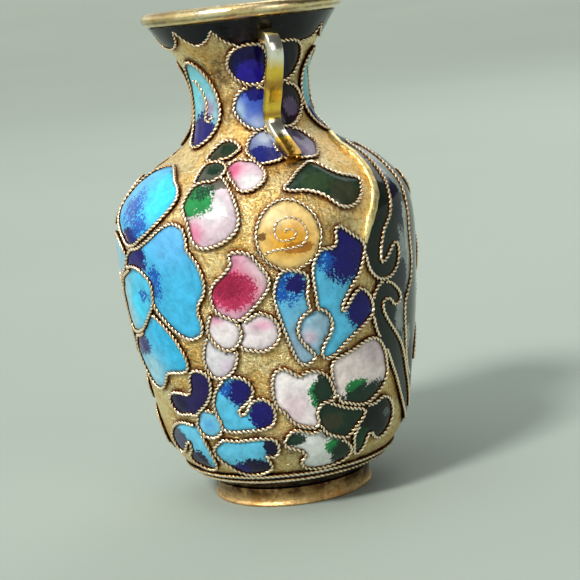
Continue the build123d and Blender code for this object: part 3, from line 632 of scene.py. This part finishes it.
SCROLL_LOW = [(72.8, 8.6), (65.5, 10.7), (61.3, 12.4), (58.2, 13.9), (55.6, 15.3), (52.5, 16.8),
              (49.7, 18.3), (47.6, 19.5), (45.2, 20.6), (42.6, 21.7), (40.9, 22.9), (39.9, 24.2),
              (39.5, 25.5), (40.3, 26.8), (42.4, 27.8), (45, 28.3), (49.6, 28), (53.3, 27.2), (56.6, 26.1),
              (56.2, 25.1), (52.3, 25), (49.4, 25.9), (45.9, 25.9), (45.2, 25), (46.5, 24), (49.2, 22.8),
              (52.3, 21.7), (56, 20.4), (59.4, 19), (62.1, 17.5), (65.5, 15.5), (69.2, 13.7), (72.6, 11.9),
              (76, 10)]
FAR_LINE = [(84, 44.5), (77.5, 43.4), (74, 41.6), (71.8, 39.7), (69.6, 37.6), (68.4, 35.5), (67, 33.7),
            (67.3, 31.8), (68.3, 29.6), (67, 27.3), (63.6, 25.8), (61, 24.4), (61, 22.4), (62.3, 20.2),
            (63.4, 18.2), (66, 16.2), (70, 14.6)]
PANEL_EDGE = [(74, 45.8), (62.5, 44.6), (54, 41.6), (47, 38.5), (41.6, 36.2), (38.2, 33.6), (38.2, 31),
              (42.6, 28.6), (39.8, 25.6), (41, 22.9), (47.6, 19.5), (55.6, 15.3), (61.3, 12.4), (68, 9.6),
              (74, 7.6)]
# Paint on the panel's glass as (colour, patches), patches as (angle, height, half width, half height). The
# grey and pale patches, and the dark ones at angles under 75, are painted reflections.
PANEL_PAINT = [
    ((146, 156, 154), [(70, 41.5, 8, 3.6), (64, 32.5, 6, 6), (58, 23.2, 4.5, 2.2), (64, 19.5, 5, 2)]),
    ((20, 16, 44), [(62, 37.5, 4.5, 4), (59.5, 28.5, 4, 1.8), (72, 31, 3, 4), (108, 28, 16, 17)]),
    ((186, 194, 190), [(75, 43, 6, 1.6), (65.5, 33.5, 2.5, 4)]),
]


# ---- ropes on the surface
def curve(points, closed, step=0.13):
    """Catmull-Rom curve in (angle, height), resampled evenly along the surface."""
    p = np.asarray(points, float)
    if closed:
        ext = np.vstack([p[-1], p, p[:2]])
    else:
        ext = np.vstack([2 * p[0] - p[1], p, 2 * p[-1] - p[-2]])
    u = np.linspace(0, 1, 16, endpoint=False)[:, None]
    out = []
    for i in range(len(ext) - 3):
        a, b, c, d = ext[i:i + 4]
        square = (2 * a - 5 * b + 4 * c - d) * u**2
        cube = (3 * b - a - 3 * c + d) * u**3
        out.append(0.5 * (2 * b + (c - a) * u + square + cube))
    out.append(p[:1] if closed else p[-1:])
    q = np.vstack(out)
    xyz, _ = on_surface(q[:, 0], q[:, 1])
    s = np.concatenate([[0], np.cumsum(np.linalg.norm(np.diff(xyz, axis=0), axis=1))])
    t = np.linspace(0, s[-1], max(6, int(s[-1] / step)) + 1)
    return np.stack([np.interp(t, s, q[:, 0]), np.interp(t, s, q[:, 1])], -1), s[-1]


STRAND = 0.165  # radius of one strand
COIL = 0.15  # how far each strand's middle runs from the rope's
TWIST = 1.25  # length of one full turn of the rope
SIDES = 6  # of a strand's section
ROPE_LIFT = 0.22  # height of the rope's middle over the metal
SHARED = 0.40  # a wire this near to one already laid is left out


def along_path(points, closed):
    """Unit directions along a row of points."""
    t = np.gradient(points, axis=0)
    if closed:
        t[0] = t[-1] = points[1] - points[-2]
    return unit(t)


def strands(path, length, closed, size):
    """Two strands twisted round a path given as (angle, height), and how high each point stands."""
    p, n = on_surface(path[:, 0], path[:, 1], ROPE_LIFT)
    b = np.cross(along_path(p, closed), n)
    turns = max(1, round(length / TWIST)) if closed else length / TWIST
    s = np.linspace(0, 1, len(p))
    jitter = 1 + 0.05 * np.sin(s * length * 1.7 + length) + 0.03 * np.sin(s * length * 4.1)
    k = np.linspace(0, 2 * math.pi, SIDES, endpoint=False)[None, :, None]
    tubes, tops = [], []
    for phase in (0, math.pi):
        a = (2 * math.pi * turns * s + phase)[:, None]
        c = p + COIL * size * (np.cos(a) * n + np.sin(a) * b * 0.92)
        ct = along_path(c, closed)
        side = unit(np.cross(ct, n))
        ring = np.cos(k) * side[:, None] + np.sin(k) * np.cross(side, ct)[:, None]
        v = c[:, None] + STRAND * size * jitter[:, None, None] * ring
        crest = ((v - p[:, None]) * n[:, None]).sum(-1) / (0.3 * size)
        used = len(v) - closed
        tubes.append(tube(v[:used], closed))
        tops.append(np.clip(crest[:used] * 0.95 + 0.12, 0, 1).ravel())
    return *joined(tubes), np.concatenate(tops)


laid = []  # every rope point so far, to share one wire between neighbouring cells


def free_runs(path, length, closed):
    """The stretches of a path that no earlier wire already covers, with their lengths."""
    if not laid:
        return [(path, length, closed)]
    here, _ = on_surface(path[:, 0], path[:, 1])
    tree = tree_of(np.vstack(laid))
    free = np.array([tree.find(h)[2] > SHARED for h in here])
    if free.all():
        return [(path, length, closed)]
    runs = []
    keep = np.flatnonzero(free)
    for run in np.split(keep, np.flatnonzero(np.diff(keep) > 1) + 1):
        if len(run) > 7:
            a, b = max(run[0] - 1, 0), min(run[-1] + 2, len(path))
            runs.append((path[a:b], length * (b - a - 1) / (len(path) - 1), False))
    return runs


def ropes(name, loops, lines, replaced, size=1.0):
    """One piece made of the wires round closed loops and along open lines."""
    parts, tops = [], []
    for points, closed in [(l, True) for l in loops] + [(l, False) for l in lines]:
        path, length = curve(points, closed)
        runs = free_runs(path, length, closed)
        laid.append(on_surface(path[:, 0], path[:, 1])[0][::2])
        for run in runs:
            *part, top = strands(*run, size)
            parts.append(part)
            tops.append(top)
    piece(name, *joined(parts), WIRE_GOLD, "gilt_wire", replaced, sharp=0, top=np.concatenate(tops))


# ---- enamel on the surface
SPACING = 0.3  # of the points inside a cell
PALE_SUM = 400  # a paint whose red, green and blue add up to more melts into the ground colour


def points_inside(ring):
    """Staggered grid points inside a closed ring, clear of its edge."""
    lo, hi = ring.min(0), ring.max(0)
    gx, gy = np.meshgrid(np.arange(lo[0], hi[0], SPACING), np.arange(lo[1], hi[1], SPACING * 0.87))
    gx[::2] += SPACING / 2
    pts = np.stack([gx.ravel(), gy.ravel()], -1)
    inside = np.zeros(len(pts), bool)
    for a, b in zip(ring, np.roll(ring, -1, 0)):
        crosses = (a[1] > pts[:, 1]) != (b[1] > pts[:, 1])
        with np.errstate(divide="ignore", invalid="ignore"):
            inside ^= crosses & (pts[:, 0] < (b[0] - a[0]) * (pts[:, 1] - a[1]) / (b[1] - a[1]) + a[0])
    return pts[inside & (distance_to(ring, pts) > SPACING * 0.55)]


def distance_to(ring, pts):
    return np.sqrt(((pts[:, None] - ring[None]) ** 2).sum(-1)).min(1)


def cell_mesh(outline):
    """Filled cell: points as (angle, height), triangles, and each point's distance to the wire."""
    path, _ = curve(outline, True, SPACING)
    path = path[:-1]
    mid = path.mean(0)
    per_degree = np.radians(1) * np.interp(mid[1], LINE[:, 1], LINE[:, 0])
    steep = 1 / max(0.35, abs(np.interp(mid[1], LINE[:, 1], SLOPE[:, 1])))
    ring = (path - mid) * [per_degree, steep]
    coords = [Vector(c) for c in np.vstack([ring, points_inside(ring)])]
    flat, _, triangles, *_ = delaunay_2d_cdt(coords, [], [list(range(len(ring)))], 1, 1e-5)
    flat = np.array([tuple(v) for v in flat])
    faces = []
    for f in triangles:
        a, b, c = (flat[i] for i in f[:3])
        turn = (b[0] - a[0]) * (c[1] - a[1]) - (b[1] - a[1]) * (c[0] - a[0])
        faces.append(list(f) if turn > 0 else list(f)[::-1])
    return flat / [per_degree, steep] + mid, faces, distance_to(ring, flat)


def plain(color, count):
    return np.tile(srgb(*color), (count, 1))


def spot(angles, heights, a, h, wide, tall):
    """Distance from the middle of an ellipse, one at its edge."""
    return np.hypot((angles - a) / wide, (heights - h) / tall)


def faded(distance):
    return np.clip(1 - 0.6 * distance**2, 0, 1)


def painted(ah, ground, spots):
    """Ground colour c0 of each point, and colours c1 to c3 with their strengths m1 to m3."""
    base, layers = plain(ground, len(ah)), []
    for color, *place in spots:
        d = spot(*ah.T, *place)
        if sum(color) > PALE_SUM:
            w = (1 / (1 + d**4))[:, None]
            base = base * (1 - w) + plain(color, len(ah)) * w
        else:
            layers.append((color, faded(d) * (0.62 if color in (BLUE, WINE, MOSS) else 1.0)))
    layers += [(ground, np.zeros(len(ah)))] * (3 - len(layers))
    paint = {"c0": base}
    for i, (color, strength) in enumerate(layers, 1):
        paint[f"c{i}"], paint[f"m{i}"] = plain(color, len(ah)), strength
    return paint


def fill_cells(name, cells, slot, replaced):
    """One piece made of the enamel of every cell, domed a little; right hand ones get a left twin."""
    parts, paints = [], []
    for outline, ground, spots in cells:
        ah, triangles, edge = cell_mesh(outline)
        dome = ENAMEL * (0.62 + 0.38 * np.clip((edge - 0.2) / 0.9, 0, 1) ** 0.6)
        dome += 0.02 * np.sin(ah[:, 0] * 0.7 + ah[:, 1] * 1.9) * (edge > 0.4)
        parts.append((on_surface(DATUM + ah[:, 0], ah[:, 1], dome)[0], triangles))
        # Painted shade along the inside of the wire.
        seam = np.clip(1 - (edge - 0.22) / 0.32, 0, 1) * 0.9
        paints.append({"seam": seam, **painted(ah, ground, spots)})
    verts, faces = joined(parts)
    paint = {key: np.concatenate([p[key] for p in paints]) for key in paints[0]}
    piece(name, verts, faces, GLASS, slot, replaced, **paint)
    if name.startswith("right_"):
        name, *replaced = (word.replace("right_", "left_") for word in (name, *replaced))
        piece(name, verts * [-1, 1, 1], [f[::-1] for f in faces], GLASS, slot, replaced, **paint)


def at(points, side=1):
    """Pattern points turned into angles round the axis."""
    return [(side * (DATUM + a), h) for a, h in points]


def turned(points, shift):
    return [(a + shift, h) for a, h in points]


def both_sides(name, cells, slot, lines=(), size=1.0):
    fill_cells(f"right_{name}_glass", cells, slot, [f"right_{name}_enamel"])
    for side, word in ((1, "right"), (-1, "left")):
        loops = [at(c[0], side) for c in cells]
        ropes(f"{word}_{name}_rope", loops, [at(l, side) for l in lines], [f"{word}_{name}_wires"], size)


def neck_leaves(where, shifts):
    """Two leaves on the neck, turned round it from the one in NECK_LEAF."""
    outline, ground, spots = NECK_LEAF
    cells = []
    for s in shifts:
        cells.append((turned(outline, s), ground, [(c, a + s, h, w, t) for c, a, h, w, t in spots]))
    fill_cells(f"neck_{where}_glass", cells, "enamel_neck", [f"neck_{where}_enamel"])
    veins = [at(turned(NECK_VEIN, s)) for s in shifts]
    ropes(f"neck_{where}_rope", [at(c[0]) for c in cells], veins, [f"neck_{where}_wires"])


fill_cells("front_flower_glass", FLOWER, "enamel_turquoise", ["front_flower_enamel"])
ropes("front_flower_rope", [at(c[0]) for c in FLOWER], [], ["front_flower_wires"])
both_sides("rose", ROSE_PETALS, "enamel_rose")
both_sides("bud", BUD, "enamel_pink")
both_sides("blossom", BLOSSOM, "enamel_blue")
both_sides("butterfly", BUTTERFLY, "enamel_turquoise")
both_sides("foliage", FOLIAGE, "enamel_white_green")
both_sides("leaf", LEAF, "enamel_green")
both_sides("disc", DISC, "enamel_amber", [SPIRAL], 0.72)
both_sides("palmette", PALMETTE_LEFT + PALMETTE_RIGHT, "enamel_cobalt")
neck_leaves("front", (0, -48))
neck_leaves("back", (184, 136))
fill_cells("back_panel_flower_glass", PANEL_CELLS, "enamel_white", ["back_panel_flower_enamel"])
ropes("back_panel_flower_rope", [at(c[0]) for c in PANEL_CELLS], [at(STEM)], ["back_panel_flower_wires"])
scrolls = [at(line, side) for side in (1, -1) for line in (SCROLL_HIGH, SCROLL_LOW, FAR_LINE)]
ropes("back_panel_border_rope", [], scrolls, ["back_panel_border"])


# ---- back panel
BAND_WIDTH = 1.25
BAND_HEIGHT = 0.46
BAND_SIDES = 14


def band(name, points):
    """Smooth half round strip laid along a line of the pattern, thinner towards its end."""
    path, _ = curve(points, False, 0.3)
    p, n = on_surface(path[:, 0], path[:, 1], 0.1)
    b = np.cross(along_path(p, False), n)
    s = np.linspace(0, 1, len(p))
    taper = 0.55 * np.clip((s - 0.8) / 0.2, 0, 1) ** 1.5
    swell = 1 + 0.07 * np.sin(s * 31) + 0.05 * np.sin(s * 67 + 1) - taper
    k = np.linspace(0, 2 * math.pi, BAND_SIDES, endpoint=False)[None, :, None]
    ring = np.cos(k) * b[:, None] * BAND_WIDTH / 2 + np.sin(k) * n[:, None] * BAND_HEIGHT
    piece(name, *tube(p[:, None] + ring * swell[:, None, None]), BAND_GOLD, "gilt_wire")


def back_panel():
    """Dark glass between the panel's two side edges, in rows from top to bottom."""
    rows, cols = 150, 220
    edge, _ = curve(PANEL_EDGE, False, 0.25)
    heights = np.linspace(45.7, 7.7, rows)
    order = np.argsort(edge[:, 1])
    left = np.interp(heights, edge[order, 1], edge[order, 0])
    angles = left[:, None] + (2 * (PANEL_MIDDLE - left))[:, None] * np.linspace(0, 1, cols)[None]
    high = np.repeat(heights[:, None], cols, 1)
    v, _ = on_surface(DATUM + angles, high, np.full(angles.shape, 0.2))
    fold = np.where(angles > PANEL_MIDDLE, 2 * PANEL_MIDDLE - angles, angles).ravel()
    paint = {"c0": plain((26, 36, 30), fold.size)}
    # Painted reflections on the glass, from PANEL_PAINT.
    for i, (color, spots) in enumerate(PANEL_PAINT, 1):
        nearest = np.min([spot(fold, high.ravel(), *place) for place in spots], 0)
        paint[f"c{i}"], paint[f"m{i}"] = plain(color, fold.size), faded(nearest)
    # Painted shade along the panel's edge beside the band.
    seam = np.clip(1 - np.abs(fold - np.repeat(left, cols)) / 3, 0, 1) * 0.8
    piece("back_panel_glass", v.reshape(-1, 3), grid_faces(rows, cols), GLASS, "enamel_panel",
          ["back_panel_ground"], seam=seam, **paint)


band("panel_band_right", at(BORDER))
band("panel_band_left", at(BORDER, -1))
back_panel()

# ---- collar under the lip
CUSPS = np.array([-48, -20, 18, 66, 107, 148, 189, 230, 271, 312.0])  # degrees from the datum line
DIPS = np.array([59.55, 59.15, 58.75, 59, 59.2, 59.1, 59.3, 59.2, 59.4])
RISES = np.array([2.2, 2.0, 0.7, 1.7, 2.1, 2.0, 2.2, 2.1, 2.0, 2.2])  # of each cusp over the dips
CUSP_WIDTH = 5.2  # degrees


def scallop_height(angle):
    """Height of the lower edge of the collar at an angle from the datum line."""
    angle = (np.asarray(angle, float) - CUSPS[0]) % 360 + CUSPS[0]
    i = np.clip(np.searchsorted(CUSPS, angle, side="right") - 1, 0, len(DIPS) - 1)
    near = np.minimum(angle - CUSPS[i], CUSPS[i + 1] - angle)
    part = np.clip((angle - CUSPS[i]) / (CUSPS[i + 1] - CUSPS[i]), 0, 1)
    rise = np.where(part < 0.5, RISES[i], RISES[i + 1])
    beside = np.where(part < 0.5, DIPS[i - 1], DIPS[(i + 1) % len(DIPS)])
    dip = DIPS[i] + 0.5 * (beside - DIPS[i]) * np.abs(2 * part - 1) ** 3
    return dip + rise * np.exp(-((near / CUSP_WIDTH) ** 1.2)) + 0.05 * np.sin(np.radians(angle * 23))


def collar():
    rows, cols = 14, 720
    angles = np.linspace(0, 360, cols, endpoint=False)
    k = np.linspace(0, 1, rows)[:, None]
    heights = scallop_height(angles)[None] * (1 - k) + (NECK_TOP - 0.05) * k
    grow = np.repeat(0.30 - 0.14 * np.exp(-k * 12), cols, 1)
    v, _ = on_surface(np.repeat(DATUM + angles[None], rows, 0), heights, grow)
    faces = grid_faces(rows, cols, wrap_cols=True)
    piece("collar_glass", v.reshape(-1, 3), faces, NAVY, "enamel_navy", ["collar_enamel"])
    scallops = []
    for a, b in zip(CUSPS[:-1], CUSPS[1:]):
        parts = [0.001, 0.05, 0.11, 0.2, 0.3, 0.4, 0.5, 0.6, 0.7, 0.8, 0.89, 0.95, 0.999]
        steps = a + (b - a) * np.array(parts)
        scallops.append([(DATUM + x, float(scallop_height(x))) for x in steps])
    ropes("collar_rope", [], scallops, ["collar_wire"], 0.8)


collar()


# ---- borders above the foot
def ring_at(z):
    return [(a, z + 0.03 * math.sin(a * 0.21)) for a in np.arange(0, 360, 5.0)]


ropes("base_rope", [ring_at(5.3), ring_at(4.4)], [], ["base_wires"])
v, f = revolve(contour_at(np.linspace(2.6, 5.3, 24), 0.24), 256, 0.0008, closed=False)
piece("base_band_glass", v, f, NAVY, "enamel_navy", ["base_enamel"])


# ---- vessel
def shell(name, low, high, material, slot, replaced, outer, inner, cols, rows):
    """Closed wall of revolution that follows the contour."""
    outside = contour_at(np.linspace(low, high, rows), outer)
    inside = contour_at(np.linspace(high, low, 40), inner)
    inside[:, 1] = np.clip(inside[:, 1], low, high)
    v, f = revolve(np.vstack([outside, inside]), cols)
    return piece(name, v, f, material, slot, replaced)


def random_waves(count):
    """(wave vector, phase) pairs with wavelengths of a few millimetres."""
    waves = []
    for _ in range(count):
        axis = rng.normal(size=3)
        wave = axis / np.linalg.norm(axis) * 2 * math.pi / rng.uniform(1.6, 5.5)
        waves.append((wave, rng.uniform(0, 6.28)))
    return waves


def beaten(obj, waves, depth=0.035):
    """Uneven hand beaten relief on the outside of a shell."""
    co = np.array([v.co for v in obj.data.vertices]) / MM
    outside = np.hypot(co[:, 0], co[:, 1]) > np.interp(co[:, 2], LINE[:, 1], LINE[:, 0]) - 0.3
    lift = sum(np.sin(co @ k + p) for k, p in waves) / math.sqrt(len(waves)) * depth
    _, n = on_surface(np.degrees(np.arctan2(co[:, 0], -co[:, 1])), co[:, 2])
    co += n * (np.clip(lift, -0.08, 0.08) * outside)[:, None]
    obj.data.vertices.foreach_set("co", (co * MM).ravel())
    obj.data.update()


# Painted shade: darkened places on the gilding as (angle, height, half width, half height, strength).
PAINTED_SHADE_PLACES = [
    (-24, 55.5, 13, 3.4, 0.9), (-26, 50.5, 8, 2.2, 0.45), (28, 36.6, 12, 1.5, 0.5),
    (0, 9.4, 8, 1.6, 1.0), (27, 10.8, 16, 3.2, 0.8), (-6, 20.0, 7, 2.0, 0.25),
    (-14, 36.2, 7, 1.4, 0.3),
]


def mark_near_wire_and_shade(obj, tree):
    """Marks how near each point is to a wire, and the darkened places of painted shade."""
    co = np.array([v.co for v in obj.data.vertices]) / MM
    near = np.array([tree.find(c)[2] for c in co])
    # Nearness to a wire, for the brown beside the wires: partly fire discolouring, partly painted shade.
    set_attr(obj, "near", np.clip(1 - (near - 0.25) / 0.45, 0, 1) * 0.85)
    turn = np.degrees(np.arctan2(np.abs(co[:, 0]), -co[:, 1])) - DATUM
    # Painted shade at the listed darkened places.
    age = sum(strength * np.exp(-(spot(turn, co[:, 2], *place) ** 2)) for *place, strength in PAINTED_SHADE_PLACES)
    set_attr(obj, "age", np.clip(age, 0, 1))


def belly_lining():
    """Closed cup of counter enamel inside the belly, standing on the base plate."""
    low = FOOT_TOP + 0.05
    z = np.linspace(low, JOINT_HEIGHT, 90)
    outside = contour_at(z, -WALL)
    inside = contour_at(z[::-1], -WALL - LINING)
    inside[:, 1] = np.clip(inside[:, 1], low + LINING, JOINT_HEIGHT)
    bottom = [(0.01, low + LINING), (0.01, low)]
    v, f = revolve(np.vstack([outside, inside, bottom]), 256)
    piece("belly_counter", v, f, COUNTER, "enamel_lining", ["belly_lining"])


belly = shell("belly", FOOT_TOP, JOINT_HEIGHT, GROUND, "gilt_copper", ["belly_shell"], 0.0, -WALL, 400, 160)
neck = shell("neck", JOINT_HEIGHT, NECK_TOP, GROUND, "gilt_copper", ["neck_shell"], 0.0, -WALL, 320, 90)
waves = random_waves(26)
wires = tree_of(np.vstack(laid))
for obj in (belly, neck):
    beaten(obj, waves)
    mark_near_wire_and_shade(obj, wires)
belly_lining()
shell("neck_counter", JOINT_HEIGHT, NECK_TOP, COUNTER, "enamel_lining", ["neck_lining"],
      -WALL, -WALL - LINING, 256, 60)


# ---- lip, foot, base
def lip():
    """Rolled lip with two painted dark reflection lines round it."""
    a = np.linspace(0, 2 * np.pi, 40, endpoint=False)
    across = LIP_RING + LIP_RADIUS * np.cos(a) * (1 + 0.04 * np.cos(2 * a))
    v, f = revolve(np.stack([across, HEIGHT - LIP_RADIUS + LIP_RADIUS * np.sin(a)], -1), 360, 0.0006)
    radius = np.hypot(v[:, 0], v[:, 1])
    turn = np.degrees(np.arctan2(v[:, 2] - (HEIGHT - LIP_RADIUS), radius - LIP_RING))
    # Painted reflections: two dark lines at fixed turns round the section.
    lines = 0.75 * np.exp(-((turn + 26) / 11) ** 2) + 0.6 * np.exp(-((turn - 42) / 9) ** 2)
    piece("lip", v, [x[::-1] for x in f], RIM_GOLD, "gilt_copper", ["lip_ring"], age=lines)


def foot():
    """Foot ring with a small flange at the bottom, darker towards the belly, where the belly's shadow is
    painted on.
    """
    profile = [
        (9.3, 0.0), (10.2, 0.0), (10.42, 0.05), (10.5, 0.18), (10.46, 0.34), (10.32, 0.44), (10.26, 0.7),
        (10.24, 1.2), (10.26, 1.7), (10.34, 2.1), (10.28, 2.34), (10.0, 2.42), (9.3, 2.4),
    ]
    v, f = revolve(profile, 256, 0.0006)
    # Painted shadow of the belly, darkest at the top of the foot.
    age = np.clip((v[:, 2] - 0.6) / 1.3, 0, 1) ** 0.8
    piece("foot", v, f, FOOT_GOLD, "gilt_copper", ["foot_ring"], age=age)


lip()
foot()
v, f = revolve([(0.01, 1.6), (9.3, 1.6), (9.3, 2.4), (0.01, 2.4)], 128)
piece("base_disc", v, f, FOOT_GOLD, "gilt_copper", ["base_plate"])
v, f = revolve([(0.01, 1.3), (6, 1.32), (9.0, 1.3), (9.3, 1.1), (9.3, 1.6), (0.01, 1.6)], 128)
piece("base_counter", v, f, COUNTER, "enamel_lining", ["base_counter_enamel"])

# ---- handles
HANDLE_LINE = [
    (9.9, 59.7), (10.9, 60.0), (12.0, 59.6), (12.75, 58.2), (12.3, 56.0), (11.1, 53.6), (9.9, 51.5),
    (9.5, 49.7), (10.2, 48.0), (11.6, 46.7), (13.0, 45.6), (14.2, 44.7),
]
HANDLE_SKEW = math.radians(12)
HANDLE_UPRIGHT = 11.5  # the skew turns each handle about an upright this far from the axis
HALF_WIDTH, HALF_THICKNESS, HANDLE_ROUND = 1.0, 0.66, 0.22
# Sideways lean, and painted sheen (0 olive, 1 white: painted reflections and highlights) at parts of the way
# down the strap.
LEAN = [(0, -0.3), (0.2, -0.75), (0.35, -0.65), (0.6, -0.2), (0.75, -0.2), (0.87, -0.2), (1, -0.55)]
PAINTED_SHEEN = [
    (0, 0.6), (0.1, 0.85), (0.2, 1), (0.3, 0.75), (0.42, 0.3), (0.46, 0.62), (0.58, 0.66), (0.63, 0.35),
    (0.67, 0.9), (0.72, 0.95), (0.8, 1), (0.86, 0.45), (0.93, 0.2), (0.97, 0.4), (1, 0.3),
]


def strap_section():
    """Rounded rectangle as (across, through) points."""
    x, y = HALF_WIDTH - HANDLE_ROUND, HALF_THICKNESS - HANDLE_ROUND
    points = []
    for cx, cy, first in ((x, y, 0), (-x, y, 90), (-x, -y, 180), (x, -y, 270)):
        for turn in np.radians(first + np.array([0, 30, 60, 90])):
            points.append((cx + HANDLE_ROUND * math.cos(turn), cy + HANDLE_ROUND * math.sin(turn)))
    return np.array(points)


def handles():
    line = cubic(HANDLE_LINE, 110)
    t = unit(np.gradient(line, axis=0))
    part = np.linspace(0, 1, len(line))
    leaning = cubic(LEAN, 400)
    lean = np.interp(part, leaning[:, 0], leaning[:, 1])[:, None]
    width = (1 - 0.06 * np.sin(np.arange(len(line)) * 0.09))[:, None]
    section = strap_section()
    across, through = section[:, 0][None], section[:, 1][None]
    dx = line[:, :1] + t[:, 1:] * through - HANDLE_UPRIGHT
    y = across * width + lean
    x = HANDLE_UPRIGHT + dx * math.cos(HANDLE_SKEW) - y * math.sin(HANDLE_SKEW)
    y = dx * math.sin(HANDLE_SKEW) + y * math.cos(HANDLE_SKEW)
    z = line[:, 1:] - t[:, :1] * through
    v, f = tube(np.stack([x, y, z], -1))
    tone = np.repeat(np.interp(part, *np.transpose(PAINTED_SHEEN)), len(section))
    for word, side in (("right", 1), ("left", -1)):
        piece(f"handle_{word}", v * [side, 1, 1], [face[::side] for face in f], HANDLE_GOLD, "gilt_handle",
              [f"{word}_handle"], tone=tone)


handles()


# ---- floor
def stage_material():
    n = Nodes("stage_pale")
    c = n.mix(n.noise(6, 3), srgb(148, 160, 151), srgb(156, 167, 158))
    return n.out(c, 0.8, n.bump(n.noise(300, 3), 0.05, 0.0005))


def floor():
    """Round floor, flat near the vase and rising gently further out, in metres."""
    sides = 96
    reach = np.concatenate([[0.4], np.linspace(0.8, 4.0, 40)])
    rise = 0.05 * np.clip(reach - 0.8, 0, None) ** 2
    v, f = revolve(np.stack([reach, rise], -1), sides, closed=False)
    middle = [[len(v), (i + 1) % sides, i] for i in range(sides)]
    smooth_object("floor", np.vstack([v, [(0, 0, 0)]]), f + middle, stage_material())


floor()

# ---- camera
AIM = Vector((0, 0, HEIGHT / 2 * MM))
ELEVATION = 8.4  # degrees
ROLL = math.radians(-6.49)
DISTANCE, LENS = 0.2233, 105.5
ASIDE, ABOVE = -0.0131, -0.0242  # how far AIM sits off the middle of the frame, as tangents


def direction(azimuth, elevation):
    """Unit vector towards a place round the vase; azimuth counts in degrees from the front."""
    az, el = math.radians(azimuth), math.radians(elevation)
    return Vector((math.sin(az) * math.cos(el), -math.cos(az) * math.cos(el), math.sin(el)))


def camera():
    back = direction(DATUM, ELEVATION)
    right = direction(DATUM + 90, 0)
    up = right.cross(-back)
    rolled_right = math.cos(ROLL) * right + math.sin(ROLL) * up
    rolled_up = -math.sin(ROLL) * right + math.cos(ROLL) * up
    forward = (-back - ASIDE * rolled_right + ABOVE * rolled_up).normalized()
    x = (rolled_right - forward * rolled_right.dot(forward)).normalized()
    y = x.cross(forward)
    data = bpy.data.cameras.new("camera")
    data.sensor_width = 36.0
    data.lens = LENS
    data.clip_start = 0.01
    data.clip_end = 20
    obj = add_object("camera", data)
    matrix = Matrix((x, y, -forward)).transposed().to_4x4()
    matrix.translation = AIM + DISTANCE * back
    obj.matrix_world = matrix
    bpy.context.scene.camera = obj


camera()


# ---- light
def lamp(name, kind, azimuth, elevation, distance, power, color, **shape):
    """Light in a place round the vase and aimed at it."""
    data = bpy.data.lights.new(name, kind)
    data.energy = power
    data.color = color
    for key, value in shape.items():
        setattr(data, key, value)
    obj = add_object(name, data)
    toward = direction(azimuth, elevation)
    obj.location = AIM + distance * toward
    obj.rotation_euler = toward.to_track_quat("Z", "Y").to_euler()


def world_axis(tree, toward, low, high, dark, light):
    """Brightness going from dark to light with the dot product of a direction and toward."""
    dot = tree.nodes.new("ShaderNodeVectorMath")
    dot.operation = "DOT_PRODUCT"
    tree.links.new(tree.nodes.new("ShaderNodeTexCoord").outputs["Generated"], dot.inputs[0])
    dot.inputs[1].default_value = toward
    ramp = tree.nodes.new("ShaderNodeMapRange")
    ramp.interpolation_type = "SMOOTHSTEP"
    tree.links.new(dot.outputs["Value"], ramp.inputs["Value"])
    for k, v in (("From Min", low), ("From Max", high), ("To Min", dark), ("To Max", light)):
        ramp.inputs[k].default_value = v
    return ramp.outputs["Result"]


def world():
    """Soft surroundings, bright on the camera's left and dim on its right."""
    scene_world = bpy.data.worlds.new("world")
    bpy.context.scene.world = scene_world
    scene_world.use_nodes = True
    tree = scene_world.node_tree
    background = tree.nodes["Background"]
    both = tree.nodes.new("ShaderNodeMath")
    both.operation = "MULTIPLY"
    tree.links.new(world_axis(tree, direction(DATUM + 90, 0), -0.9, 0.8, 1.35, 0.12), both.inputs[0])
    tree.links.new(world_axis(tree, (0, 0, 1), 0.0, 0.9, 1.15, 1.2), both.inputs[1])
    tree.links.new(both.outputs[0], background.inputs["Strength"])
    background.inputs["Color"].default_value = (0.61, 0.63, 0.60, 1)


lamp("key", "SUN", DATUM - 40, 46, 1.0, 3.0, (1.0, 0.97, 0.92), angle=math.radians(11))
lamp("fill", "AREA", DATUM + 40, 22, 0.8, 0.85, (0.98, 0.98, 0.98), size=0.4)
lamp("top", "AREA", DATUM - 10, 78, 0.6, 0.5, (1.0, 0.99, 0.96), size=0.4)
lamp("back", "AREA", DATUM + 150, 40, 0.8, 1.6, (0.95, 0.98, 1.0), size=0.6)
world()
bpy.context.scene.view_settings.view_transform = "Standard"
